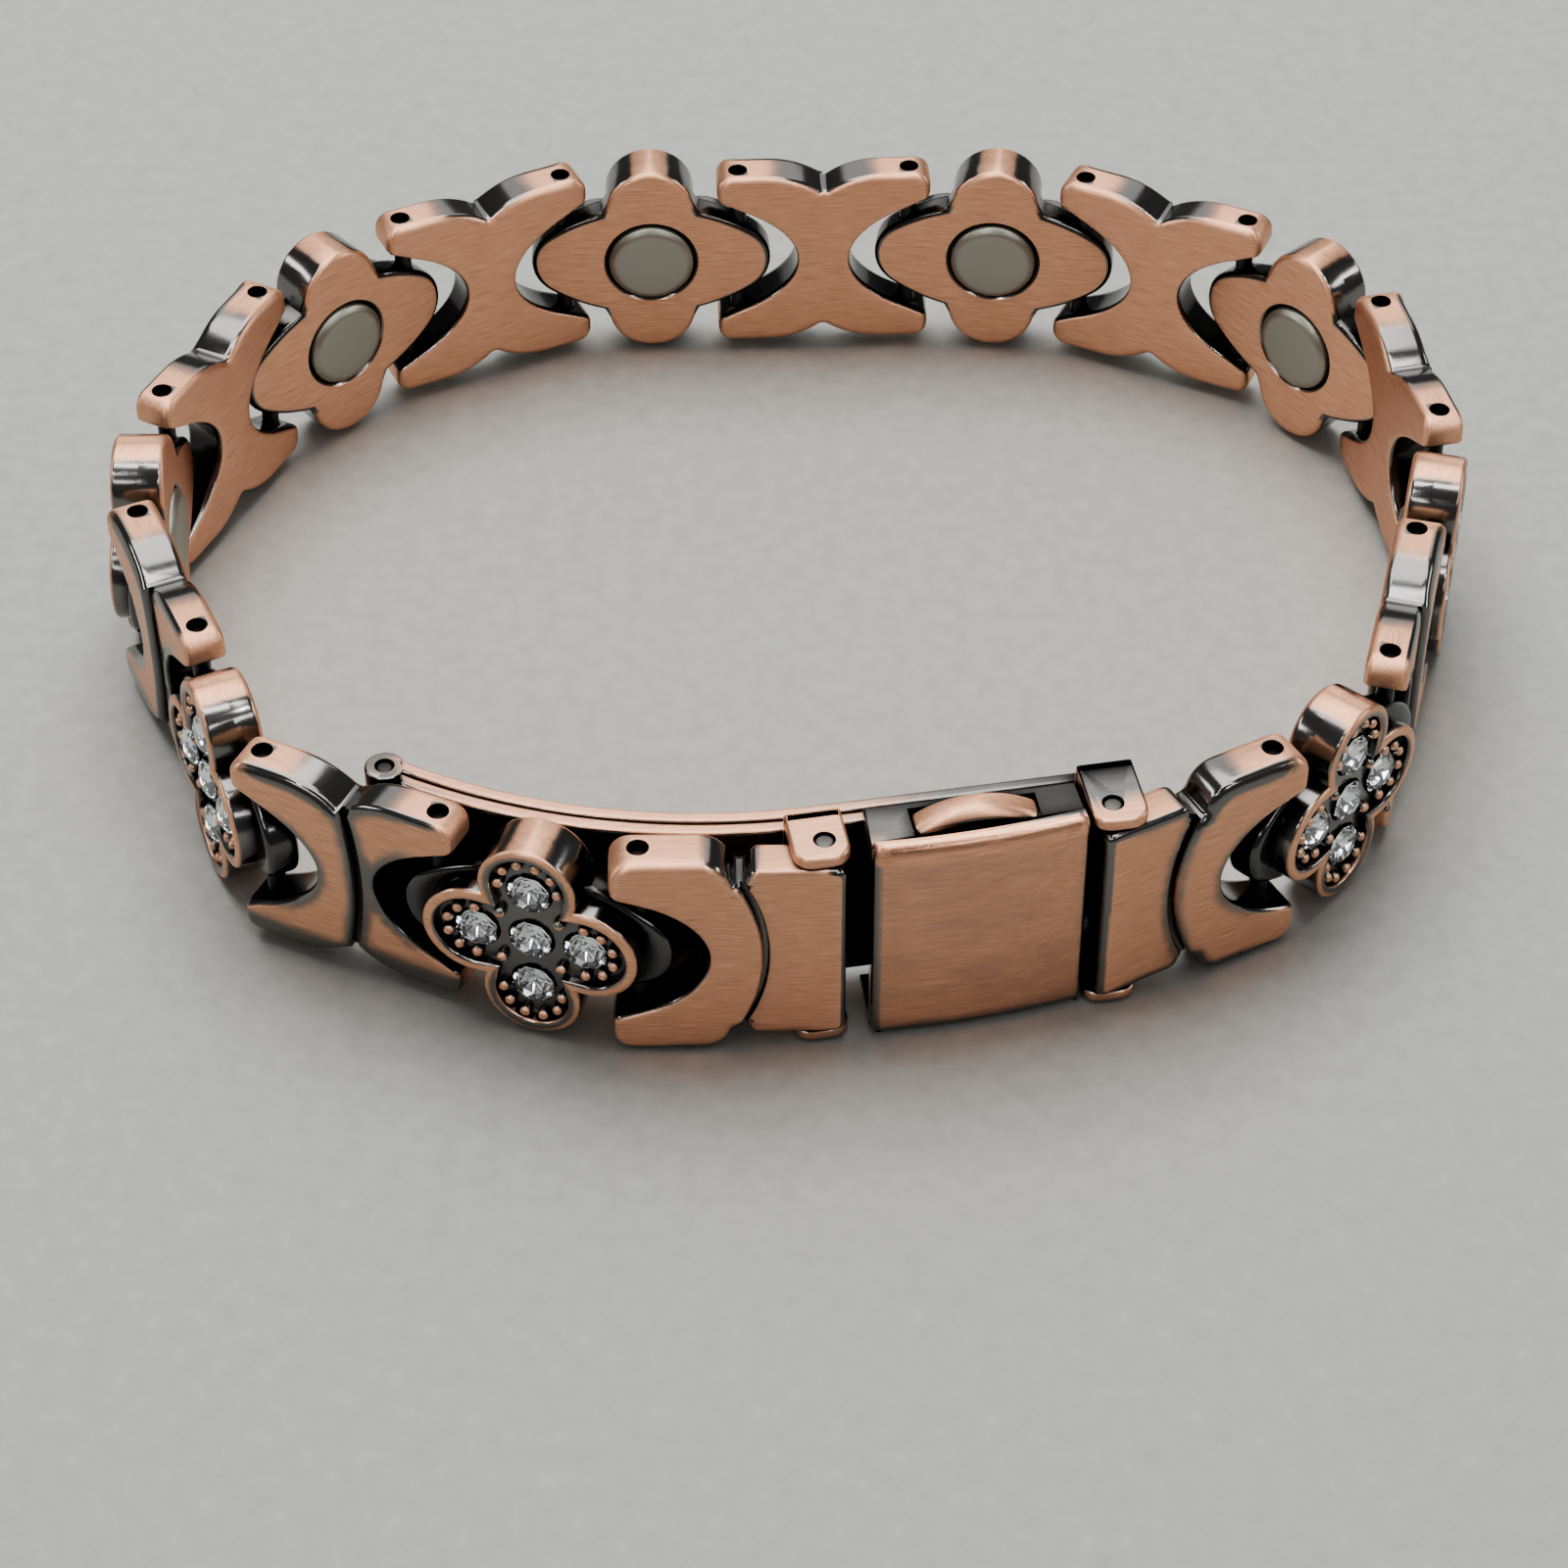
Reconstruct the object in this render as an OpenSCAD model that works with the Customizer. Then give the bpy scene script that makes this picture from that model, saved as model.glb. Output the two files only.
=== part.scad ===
// Closed link bracelet: nine flower links with stones and magnets, eight cross links between them,
// two end links, and a fold-over clasp with a push button. It stands on its edge.
//
// Frame: origin on the ground under the middle of the loop, +Z up, clasp towards -Y, wrist hole along Z.
// Each link is drawn in its own frame: x runs along the chain through the pins, -y faces out from
// the wrist, and z is up and 0 at half height. Outlines are drawn in the x-z plane, and depths are
// measured outwards from the pins.

/* [Links] */
// Height of a flower link
flower_h = 11.5; // [11:0.1:11.8]
// Height of a cross link
cross_h = 10.8; // [10.4:0.1:11.2]
// Height of an end link's crescent
end_h = 11.8; // [11.2:0.1:12]
// Distance between the two pins of a flower link
flower_pitch = 9.6; // [9.4:0.1:9.8]
// Distance between the two pins of a cross link
cross_pitch = 9.3; // [9.2:0.1:9.6]
// Distance between an end link's pin and the clasp's pin
end_pitch = 8.4; // [8.2:0.1:8.8]
// Diameter of a pin
pin_d = 0.9; // [0.8:0.02:0.94]
// Diameter of a pin's hole
pin_hole_d = 1.06; // [1:0.02:1.1]
// How far the pins' ends lie below the links' edges
pin_recess = 0.5; // [0.4:0.05:0.7]

/* [Flower link] */
// Depth of the wrist face, inwards from the pins
flower_back = 0.85; // [0.8:0.05:1]
// Depth of the tongues' outer face, outwards from the pins
tongue_face = 0.75; // [0.7:0.05:0.9]
// Depth of the raised rim's face, outwards from the pins
rim_face = 1.85; // [1.6:0.05:2]
// Radius of the upper and lower lobes
lobe_r = 2.4; // [2.3:0.05:2.5]
// Radius of the two side lobes of the raised rim
side_r = 2.6; // [2.5:0.05:2.7]
// How far the raised rim reaches to each side
side_reach = 5.25; // [5:0.05:5.4]
// Width of the raised rim around the stones
rim_w = 0.6; // [0.5:0.05:0.7]
// Depth of the bed that the stones and grains stand in
bed_depth = 0.5; // [0.4:0.05:0.6]
// How far a tongue reaches to each side
tongue_reach = 6.55; // [6.4:0.05:6.6]
// Radius of the curve along a tongue's upper and lower edge
tongue_curve_r = 9.8; // [9.4:0.1:10.2]
// How far below the middle that curve's centre lies
tongue_curve_drop = 6.2; // [6:0.05:6.4]

/* [Cross link] */
// Depth of the wrist face, inwards from the pins
link_back = 1.05; // [1:0.05:1.1]
// Depth of the plain half's outer face, outwards from the pins
plain_face = 1.05; // [1:0.05:1.1]
// Depth of the crescent's outer face, outwards from the pins
crescent_face = 1.4; // [1.3:0.05:1.5]
// How far the arms reach past the pins
arm_reach = 1.15; // [1:0.05:1.2]
// Radius of an arm's outer corner
arm_corner = 0.8; // [0.6:0.05:0.9]
// Distance from the middle of the link to the deepest point of a bay
bay_apex = 1.45; // [1.3:0.05:1.6]
// Half height of a bay at the arms' tips
bay_half = 3.7; // [3.5:0.05:3.8]
// Half height of the link between its upper and lower notch
notch_half = 4.45; // [4.2:0.05:4.6]
// Length of the curve from a notch to the flat top of an arm
shoulder_run = 3; // [2.6:0.1:3.4]
// How far the crescent bulges past the notches towards the plain half
crescent_bulge = 0.55; // [0.4:0.05:0.7]
// Width of the groove beside the crescent
groove_w = 0.35; // [0.3:0.05:0.4]
// Depth of the groove beside the crescent
groove_depth = 0.25; // [0.2:0.05:0.3]

/* [End link] */
// Distance from the flower's pin to the notches
end_notch = 4.55; // [4.4:0.05:4.7]
// How far the arms reach past the flower's pin
end_arm_reach = 1.35; // [1.2:0.05:1.4]
// Radius of an end link arm's outer corner
end_arm_corner = 1; // [0.8:0.05:1.1]
// Length of the curve from a notch to the flat top of the crescent
end_shoulder_run = 1.85; // [1.6:0.05:2.2]
// How far the end link's crescent bulges past the notches
end_bulge = 1.1; // [1:0.05:1.2]
// Height of the plain plate at the clasp
plate_h = 10.4; // [10:0.1:10.5]
// How far the plate reaches past the clasp's pin
plate_reach = 1; // [0.9:0.05:1.1]
// How far inwards the clasp's pin lies from the line of the link's own pin
pin_inset = 0.4; // [0.4:0.05:0.6]

/* [Stones and magnets] */
// Diameter of a stone at its girdle
stone_d = 2.1; // [1.9:0.05:2.1]
// Distance from the middle stone to the stones at the sides
stone_side = 2.65; // [2.6:0.05:2.7]
// Distance from the middle stone to the stones above and below
stone_up = 2.9; // [2.8:0.05:3]
// Diameter of a grain of the beaded setting
grain_d = 0.5; // [0.45:0.05:0.55]
// Diameter of a magnet
magnet_d = 4.6; // [4.4:0.1:4.8]
// How far a magnet stands out of the wrist face
magnet_proud = 0.3; // [0.2:0.05:0.4]

/* [Clasp] */
// Height of the cover
cover_h = 12; // [12:0.1:12.4]
// Length of the cover
cover_w = 10.1; // [9.8:0.1:10.2]
// Thickness of the cover's face
cover_t = 0.9; // [0.8:0.05:0.9]
// Depth of the cover's face, outwards from the clasp's pins
cover_face = 1.5; // [1.4:0.05:1.6]
// Radius that the cover's face is bent to
cover_r = 45; // [42:0.5:60]
// Depth of the base blade's wrist face, inwards from the clasp's pins
blade_back = 3.5; // [3.5:0.05:3.7]
// Radius that the blades' wrist face is bent to towards the hinge
blade_r = 29; // [28.5:0.5:30]
// Thickness of each blade
blade_t = 0.7; // [0.6:0.05:0.7]
// Height of the blades
blade_h = 9.6; // [9.2:0.1:9.8]
// Half length of the button
button_half = 2.85; // [2.7:0.05:3]
// How far the button's dome stands above the cover
button_proud = 0.55; // [0.5:0.05:0.7]

/* [Hidden] */
$fn = 48;
// Space between two pieces that don't touch
gap = 0.1;
// How far one shape is let into another so that they fuse
sink = 0.05;
// Points on each quarter of an outline's round stretches
STEPS = 6;

copper = "#b9795a";
steel = "#8f9292";
magnet_grey = "#8d8c80";
crystal = "#dfe6ea";

// The chain, one row a link, counter-clockwise from the clasp's right pin: kind and heading in degrees
KIND = 0;
HEADING = 1;
CHAIN = [
    ["end", 26],
    ["flower", 49.5],
    ["cross", 76],
    ["flower", 77],
    ["cross", 102.5],
    ["flower", 131.5],
    ["cross", 155],
    ["flower", 173.5],
    ["cross", 182.5],
    ["flower", 182.5],
    ["cross", 205.5],
    ["flower", 223],
    ["cross", 244],
    ["flower", 269],
    ["cross", 294],
    ["flower", 294],
    ["cross", 334],
    ["flower", 342.5],
    ["end", 363.5]
];
LAST = len(CHAIN) - 1;
// Place of the clasp's right pin, which centres the whole loop on the origin
CHAIN_START = [14.224, -23.86];
mid_z = cover_h / 2;

function pitch(i) = CHAIN[i][KIND] == "flower" ? flower_pitch : CHAIN[i][KIND] == "cross" ? cross_pitch : end_pitch;
function along(heading) = [cos(heading), sin(heading)];
function joint(i) = i == 0 ? CHAIN_START : joint(i - 1) + pitch(i - 1) * along(CHAIN[i - 1][HEADING]);

// An arc's points from angle a0 to a1 about [x, z]
function arc(x, z, r, a0, a1, n = STEPS) = [for (i = [0:n]) let (a = a0 + (a1 - a0) * i / n) [x + r * cos(a), z + r * sin(a)]];
function flip_x(points) = [for (i = [len(points) - 1:-1:0]) [-points[i].x, points[i].y]];
function flip_z(points) = [for (i = [len(points) - 1:-1:0]) [points[i].x, -points[i].y]];
// A closed outline from its upper right quarter, which runs from the right to the top
function four_way(quarter) = let (upper = concat(quarter, flip_x(quarter))) concat(upper, flip_z(upper));

// Link i's frame
module on_link(i) {
    middle = (joint(i) + joint(i + 1)) / 2;
    translate([middle.x, middle.y, mid_z])
        rotate(CHAIN[i][HEADING])
            children();
}

// A flat outline given thickness between two depths, outwards positive
module slab(from, to) {
    rotate([90, 0, 0])
        translate([0, 0, from])
            linear_extrude(to - from)
                children();
}

// Something drawn along z, turned to point outwards at x, z and a depth
module facing_out(x, z, depth) {
    translate([x, -depth, z])
        rotate([90, 0, 0])
            children();
}

// Flower link

// The tongues' outline: two long curves, each running into a round tip
tip_r = (pow(tongue_curve_r, 2) - pow(tongue_reach, 2) - pow(tongue_curve_drop, 2)) / (2 * (tongue_curve_r - tongue_reach));
tip_x = tongue_reach - tip_r;
tip_angle = atan2(tongue_curve_drop, tip_x);
lobe_z = flower_h / 2 - lobe_r;
// Where a tongue's curve ends and the lobe's side starts
throat_x = lobe_r + 0.25;
throat_angle = acos(throat_x / tongue_curve_r);
lobe_start = 12;

function wrist_outline() = four_way(concat(
    arc(tip_x, 0, tip_r, 0, tip_angle),
    arc(0, -tongue_curve_drop, tongue_curve_r, tip_angle, throat_angle, 4),
    arc(0, lobe_z, lobe_r, lobe_start, 90)
));

// The raised rim's outline, drawn in by an inset from its edge
side_x = side_reach - side_r;
lobe_gap = norm([side_x, lobe_z]);
to_meeting = (pow(lobe_r, 2) - pow(side_r, 2) + pow(lobe_gap, 2)) / (2 * lobe_gap);
off_meeting = sqrt(pow(lobe_r, 2) - pow(to_meeting, 2));
meeting = [0, lobe_z] + to_meeting * [side_x, -lobe_z] / lobe_gap + off_meeting * [lobe_z, side_x] / lobe_gap;
side_turn = atan2(meeting.y, meeting.x - side_x);
lobe_turn = atan2(meeting.y - lobe_z, meeting.x);

function rim_outline(inset) = four_way(concat(
    arc(side_x, 0, side_r - inset, 0, side_turn),
    inset > 0 ? arc(meeting.x, meeting.y, inset, side_turn + 180, lobe_turn + 180, 3) : [],
    arc(0, lobe_z, lobe_r - inset, lobe_turn, 90)
));

stone_r = stone_d / 2;
STONES = [[0, 0], [stone_side, 0], [0, stone_up], [-stone_side, 0], [0, -stone_up]];
cup_depth = 0.65;
bed_face = rim_face - bed_depth;
magnet_depth = 0.85;

// Grains follow each lobe's outer curve, and one more stands in each inner corner
grain_ring = 1.45;
GRAIN_ANGLES = [-90, -54, -18, 18, 54, 90];
function lobe_grains(x, z, facing) = [for (a = GRAIN_ANGLES) [x, z] + grain_ring * along(facing + a)];
GRAINS = concat(
    lobe_grains(side_x, 0, 0),
    lobe_grains(0, lobe_z, 90),
    lobe_grains(-side_x, 0, 180),
    lobe_grains(0, -lobe_z, 270),
    [for (sx = [-1, 1], sz = [-1, 1]) grain_ring * [sx, sz]]
);
grain_h = 0.4;

module flower_link(k) {
    color(copper)
        on_link(2 * k - 1) {
            difference() {
                union() {
                    slab(-flower_back, tongue_face) polygon(wrist_outline());
                    slab(tongue_face - sink, rim_face) polygon(rim_outline(0));
                }
                slab(bed_face, 2 * rim_face) polygon(rim_outline(rim_w));
                for (p = STONES)
                    facing_out(p.x, p.y, bed_face - cup_depth) cylinder(h = rim_face, r = stone_r + gap);
                facing_out(0, 0, -rim_face) cylinder(h = rim_face - flower_back + magnet_depth, d = magnet_d + 3 * gap);
                for (x = [-1, 1] * flower_pitch / 2)
                    translate([x, 0, -flower_h]) cylinder(h = 2 * flower_h, d = pin_hole_d);
            }
            for (p = GRAINS)
                facing_out(p.x, p.y, bed_face - sink) cylinder(h = grain_h + sink, d = grain_d, $fn = 16);
        }
}

// Round stones

// One row a ring of eight corners, from table to point: radius and height above the girdle, and turn
RING_R = 0;
RING_UP = 1;
RING_TURN = 2;
STONE_RINGS = [
    [0.58, 0.36, 0],
    [0.84, 0.22, 22.5],
    [1, 0.04, 0],
    [1, -0.04, 0],
    [0.12, -0.52, 0]
];
SIDES = 8;
girdle_lift = 0.12;

module stone() {
    rings = len(STONE_RINGS);
    points = [for (ring = STONE_RINGS, s = [0:SIDES - 1])
        let (a = ring[RING_TURN] + s * 360 / SIDES)
        [stone_r * ring[RING_R] * cos(a), stone_r * ring[RING_R] * sin(a), ring[RING_UP]]];
    bands = [for (i = [0:rings - 2], s = [0:SIDES - 1])
        let (next = (s + 1) % SIDES, upper = i * SIDES, lower = upper + SIDES)
        let (lean = STONE_RINGS[i + 1][RING_TURN] > STONE_RINGS[i][RING_TURN])
        each lean
            ? [[upper + s, upper + next, lower + s], [upper + next, lower + next, lower + s]]
            : [[upper + s, upper + next, lower + next], [upper + s, lower + next, lower + s]]];
    table = [for (s = [SIDES - 1:-1:0]) s];
    point = [for (s = [0:SIDES - 1]) (rings - 1) * SIDES + s];
    polyhedron(points, concat([table, point], bands));
}

module stones(k) {
    color(crystal)
        on_link(2 * k - 1)
            for (p = STONES)
                facing_out(p.x, p.y, bed_face + girdle_lift) stone();
}

// Magnets

magnet_edge = 0.25;

module magnet(k) {
    floor_depth = magnet_depth - flower_back - gap;
    height = floor_depth + flower_back + magnet_proud;
    color(magnet_grey)
        on_link(2 * k - 1)
            facing_out(0, 0, floor_depth)
                rotate([180, 0, 0]) {
                    cylinder(h = height - magnet_edge, d = magnet_d);
                    translate([0, 0, height - magnet_edge])
                        cylinder(h = magnet_edge, d1 = magnet_d, d2 = magnet_d - 2 * magnet_edge);
                }
}

// Cross links

bay_tip_r = 0.5;
notch_r = 0.4;
BAY_STEPS = 9;

// Curve from a notch at x = 0 up to a flat edge: a small hollow, then a shoulder, from right to left
function shoulder(run, low, high) = let (
    turn = 2 * atan((high - low) / run),
    shoulder_r = run / sin(turn) - notch_r
) concat(
    arc(run, high - shoulder_r, shoulder_r, 90, 90 + turn),
    arc(0, low + notch_r, notch_r, turn - 90, -90, 3)
);

// A bay's edge from its apex to the arm's tip; fullness swells it between the two
function bay_edge(reach, fullness) = [for (i = [0:BAY_STEPS]) let (s = pow(i / (BAY_STEPS + 1), 2))
    [bay_apex + (reach - bay_apex) * s, bay_half * sqrt(s * pow(2 - s, fullness))]];

// Upper right quarter of a link whose notches lie at x = 0, from the bay round the arm to the notch
function arm_quarter(reach, fullness, half_h, run, corner) = concat(
    bay_edge(reach, fullness),
    arc(reach - bay_tip_r, bay_half + bay_tip_r, bay_tip_r, -60, 0, 2),
    arc(reach - corner, half_h - corner, corner, 0, 90, 5),
    shoulder(run, notch_half, half_h)
);
function upright(quarter) = concat(flip_z(quarter), quarter);

// The crescent's outer edge is an arc through both notches
function crescent_r(bulge) = (pow(notch_half, 2) + pow(bulge, 2)) / (2 * bulge);

module crescent_disc(bulge, grow = 0) {
    r = crescent_r(bulge);
    translate([r - bulge, 0]) circle(r + grow, $fn = 96);
}

module crescent_groove(bulge) {
    slab(plain_face - groove_depth, 2 * crescent_face)
        difference() {
            crescent_disc(bulge, groove_w);
            crescent_disc(bulge);
        }
}

cross_reach = cross_pitch / 2 + arm_reach;

cross_fullness = 0.35;

module cross_outline() {
    polygon(four_way(arm_quarter(cross_reach, cross_fullness, cross_h / 2, shoulder_run, arm_corner)));
}

// Which way a link's crescent looks along the chain: away from the clasp on both sides
function crescent_side(k) = k <= 4 ? 0 : 180;

module cross_link(k) {
    color(copper)
        on_link(2 * k)
            difference() {
                mirror([crescent_side(k) / 180, 0, 0])
                    difference() {
                        union() {
                            slab(-link_back, plain_face) cross_outline();
                            slab(plain_face - sink, crescent_face)
                                intersection() {
                                    cross_outline();
                                    crescent_disc(crescent_bulge);
                                }
                        }
                        crescent_groove(crescent_bulge);
                    }
                for (x = [-1, 1] * cross_pitch / 2)
                    translate([x, 0, -cross_h]) cylinder(h = 2 * cross_h, d = pin_hole_d);
            }
}

module upright_pin(x, y, h, d) {
    translate([x, y, -h / 2]) cylinder(h = h, d = d);
}

module link_pins(k) {
    color(steel)
        on_link(2 * k)
            for (x = [-1, 1] * cross_pitch / 2)
                upright_pin(x, 0, cross_h - 2 * pin_recess, pin_d);
}

// End links: the notches lie at x = 0, the flower's pin to the right and the plate to the left

end_reach = end_notch + end_arm_reach;
end_fullness = 0.7;
plate_shoulder_run = 0.9;
plate_corner = 0.4;
// The link turns about the flower's pin until the clasp's pin lies in its inset place
clasp_pin_x = end_notch - sqrt(pow(end_pitch, 2) - pow(pin_inset, 2));
plate_x = clasp_pin_x - plate_reach;
end_turn = asin(pin_inset / end_pitch);

module end_outline() {
    crescent = arm_quarter(end_reach, end_fullness, end_h / 2, end_shoulder_run, end_arm_corner);
    plate = concat(
        [[-plate_x - plate_corner, plate_h / 2 - plate_corner]] + plate_corner * [[1, 0]],
        arc(-plate_x - plate_corner, plate_h / 2 - plate_corner, plate_corner, 0, 90, 3),
        shoulder(plate_shoulder_run, notch_half, plate_h / 2)
    );
    upper = concat(crescent, flip_x(plate));
    polygon(concat(upper, flip_z(upper)));
}

// side is 1 at the loop's right, where the flower follows the clasp, and -1 at its left
module end_link(side) {
    i = side > 0 ? 0 : LAST;
    pin = side > 0 ? joint(1) : joint(LAST);
    color(copper)
        translate([pin.x, pin.y, mid_z])
            rotate(CHAIN[i][HEADING] + side * end_turn)
                mirror([(1 - side) / 2, 0, 0])
                    translate([-end_notch, 0, 0])
                        difference() {
                            union() {
                                slab(-link_back, plain_face) end_outline();
                                slab(plain_face - sink, crescent_face)
                                    intersection() {
                                        end_outline();
                                        crescent_disc(end_bulge);
                                    }
                            }
                            crescent_groove(end_bulge);
                            translate([end_notch, 0, -end_h]) cylinder(h = 2 * end_h, d = pin_hole_d);
                            translate([clasp_pin_x, pin_inset, -end_h]) cylinder(h = 2 * end_h, d = pin_hole_d);
                        }
}

module end_pin(side) {
    pin = side > 0 ? joint(1) : joint(LAST);
    color(steel)
        translate([pin.x, pin.y, mid_z])
            upright_pin(0, 0, end_h - 2 * pin_recess, pin_d);
}

// Clasp: x runs from the left pin to the right one, 0 in the middle between them

clasp_right = joint(0);
clasp_left = joint(LAST + 1);
clasp_middle = (clasp_right + clasp_left) / 2;
clasp_span = norm(clasp_right - clasp_left);
clasp_heading = atan2(clasp_right.y - clasp_left.y, clasp_right.x - clasp_left.x);
right_x = clasp_span / 2;

module on_clasp() {
    translate([clasp_middle.x, clasp_middle.y, mid_z])
        rotate(clasp_heading)
            children();
}

// The blades are straight to the right of bend_x and bent to its left. lift is a height above the
// base blade's wrist face.
bend_x = -6.5;
BEND_STEPS = 20;
fold_lift = blade_t + gap;
function blade_point(x, lift) = [x, x > bend_x
    ? blade_back - lift
    : blade_back + blade_r - sqrt(pow(blade_r + lift, 2) - pow(x - bend_x, 2))];
function blade_line(x0, x1, lift) = concat(
    x0 < bend_x ? [for (i = [0:BEND_STEPS]) blade_point(x0 + (bend_x - x0) * i / BEND_STEPS, lift)] : [],
    [blade_point(x1, lift)]
);

module blade_band(x0, x1, lift) {
    inner = blade_line(x0, x1, lift);
    outer = blade_line(x0, x1, lift + blade_t);
    translate([0, 0, -blade_h / 2])
        linear_extrude(blade_h)
            polygon(concat(outer, [for (i = [len(inner) - 1:-1:0]) inner[i]]));
}

hinge_x = -25.5;
hinge_point = blade_point(hinge_x, fold_lift - gap / 2);
knuckle_r = 0.95;
knuckle_half = 1.9;
hinge_hole_d = 0.96;
hinge_pin_d = 0.8;

module at_hinge(z = 0) {
    translate([hinge_point.x, hinge_point.y, z])
        children();
}

// A wall on a blade's outer face with an ear at its top and foot, which hold the pin at pin_x
ear_t = 0.6;
ear_z = plate_h / 2 + gap;
ear_top = ear_z + ear_t;
ear_front = 1.25;
ear_corner = 0.9;
ear_to_link = 1.55;
ear_to_cover = 1.1;
wall_t = 0.7;

module ears(x0, x1, lift) {
    foot = blade_back - lift;
    wall = foot - wall_t;
    for (z = [ear_z, -ear_top])
        translate([0, 0, z])
            linear_extrude(ear_t)
                polygon(concat(
                    [[x1, foot], [x0, foot]],
                    arc(x0 + ear_corner, ear_corner - ear_front, ear_corner, 180, 270),
                    arc(x1 - ear_corner, ear_corner - ear_front, ear_corner, 270, 360)
                ));
    translate([x0, wall, -ear_top]) cube([x1 - x0, wall_t, 2 * ear_top]);
    translate([x0, foot - sink, -blade_h / 2]) cube([x1 - x0, 2 * sink, blade_h]);
}

module pin_hole(x, d) {
    translate([x, 0, -cover_h]) cylinder(h = 2 * cover_h, d = d);
}

base_end = right_x + ear_to_link;

module base_blade() {
    color(copper)
        on_clasp()
            difference() {
                union() {
                    blade_band(hinge_x, base_end, 0);
                    ears(right_x - ear_to_cover, base_end, blade_t);
                    for (z = [knuckle_half, -blade_h / 2])
                        at_hinge(z) cylinder(h = blade_h / 2 - knuckle_half, r = knuckle_r);
                }
                at_hinge() upright_pin(0, 0, 2 * (knuckle_half + gap), 2 * (knuckle_r + gap));
                at_hinge() upright_pin(0, 0, 2 * cover_h, hinge_hole_d);
                pin_hole(right_x, pin_hole_d);
            }
}

fold_end = 4.2;

module fold_blade() {
    color(copper)
        on_clasp()
            difference() {
                union() {
                    blade_band(hinge_x + knuckle_r / 2, fold_end, fold_lift);
                    ears(-right_x - ear_to_link, ear_to_cover - right_x, fold_lift + blade_t);
                    at_hinge() upright_pin(0, 0, 2 * knuckle_half, 2 * knuckle_r);
                }
                for (z = [knuckle_half, -cover_h])
                    at_hinge(z) cylinder(h = cover_h - knuckle_half, r = knuckle_r + gap);
                at_hinge() upright_pin(0, 0, 2 * cover_h, hinge_hole_d);
                pin_hole(-right_x, pin_hole_d);
            }
}

module blade_pin() {
    color(steel)
        on_clasp()
            at_hinge()
                upright_pin(0, 0, blade_h - 2 * gap, hinge_pin_d);
}

module clasp_pin(side) {
    color(steel)
        on_clasp()
            upright_pin(side * right_x, 0, 2 * (ear_top - gap), pin_d);
}

// Cover: a bent plate with a flange above and below that reach in to the fold blade

cover_x = 0.4;
cover_bend_x = -1.5;
COVER_STEPS = 12;
flange_t = 0.6;
flange_step = 0.3;
flange_back = blade_back - fold_lift - blade_t - gap;
flange_top = cover_h / 2 - flange_step;
button_back = 1.4;
button_front = 0.25;
slot_gap = 0.12;

function cover_line(r) = [for (i = [0:COVER_STEPS]) let (x = cover_x + cover_w * (i / COVER_STEPS - 0.5))
    [x, cover_r - cover_face - sqrt(pow(r, 2) - pow(x - cover_bend_x, 2))]];

module cover_slice(back, z, h) {
    translate([0, 0, z])
        linear_extrude(h)
            polygon(concat(cover_line(cover_r), back));
}

module cover() {
    x0 = cover_x - cover_w / 2;
    x1 = cover_x + cover_w / 2;
    inner = cover_line(cover_r - cover_t);
    color(copper)
        on_clasp()
            difference() {
                union() {
                    cover_slice([for (i = [COVER_STEPS:-1:0]) inner[i]], -cover_h / 2, cover_h);
                    intersection() {
                        cover_slice([[x1, flange_back], [x0, flange_back]], -cover_h / 2, cover_h);
                        for (z = [flange_top - flange_t, -flange_top])
                            translate([x0 - cover_w, -cover_w, z]) cube([3 * cover_w, 2 * cover_w, flange_t]);
                    }
                }
                translate([cover_x - button_half - slot_gap, -button_front - slot_gap, flange_top - flange_t - sink])
                    cube([2 * (button_half + slot_gap), button_front + button_back + 2 * slot_gap, cover_h]);
            }
}

// Push button: a domed bar that comes up through the upper flange, with a foot that the flange keeps in

foot_half = 3.5;
foot_low = 3;
foot_high = flange_top - flange_t - slot_gap;
foot_front = -0.05;
dome_edge = flange_top;
dome_top = cover_h / 2 + button_proud;
dome_r = (pow(button_half, 2) + pow(dome_top - dome_edge, 2)) / (2 * (dome_top - dome_edge));
dome_angle = asin(button_half / dome_r);

module push_button() {
    depth = button_front + button_back;
    round_r = depth / 2;
    dome = arc(0, dome_top - dome_r, dome_r, 90 - dome_angle, 90 + dome_angle, 12);
    color(copper)
        on_clasp()
            translate([cover_x, 0, 0]) {
                intersection() {
                    slab(-button_back, button_front)
                        polygon(concat([[-button_half, foot_low], [button_half, foot_low]], dome));
                    rotate([90, 0, 90])
                        translate([0, 0, -button_half])
                            linear_extrude(2 * button_half)
                                polygon(concat(
                                    [[-button_front, 0], [button_back, 0]],
                                    arc(button_back - round_r, dome_top - round_r, round_r, 0, 180, 10)
                                ));
                }
                slab(-button_back, foot_front)
                    polygon([[-foot_half, foot_low], [foot_half, foot_low], [foot_half, foot_high], [-foot_half, foot_high]]);
            }
}

for (k = [1:9]) {
    flower_link(k);
    stones(k);
    magnet(k);
}
for (k = [1:8]) {
    cross_link(k);
    link_pins(k);
}
end_link(1);  // end_link_right
end_link(-1);  // end_link_left
end_pin(1);  // end_pin_right
end_pin(-1);  // end_pin_left
clasp_pin(1);  // clasp_pin_right
clasp_pin(-1);  // clasp_pin_left
base_blade();
fold_blade();
blade_pin();
cover();
push_button();
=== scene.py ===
# %% [markdown]
# # An antique copper link bracelet
# The bracelet is a closed loop of flat metal links that stands on its edge. Nine flower links carry
# five cut stones each and a magnet on the wrist side, eight cross links join them, and two end links
# lead to a fold-over clasp. Every solid of the CAD model is replaced here by a dressed piece with
# rounded edges, worn plating and fine marks. The file works in millimetres and turns them into
# Blender's metres at the end of each mesh.

# %% Load the CAD frame
import random
from math import acos, asin, atan, atan2, cos, degrees, dist, hypot, pi, radians, sin, sqrt, tan

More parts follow.
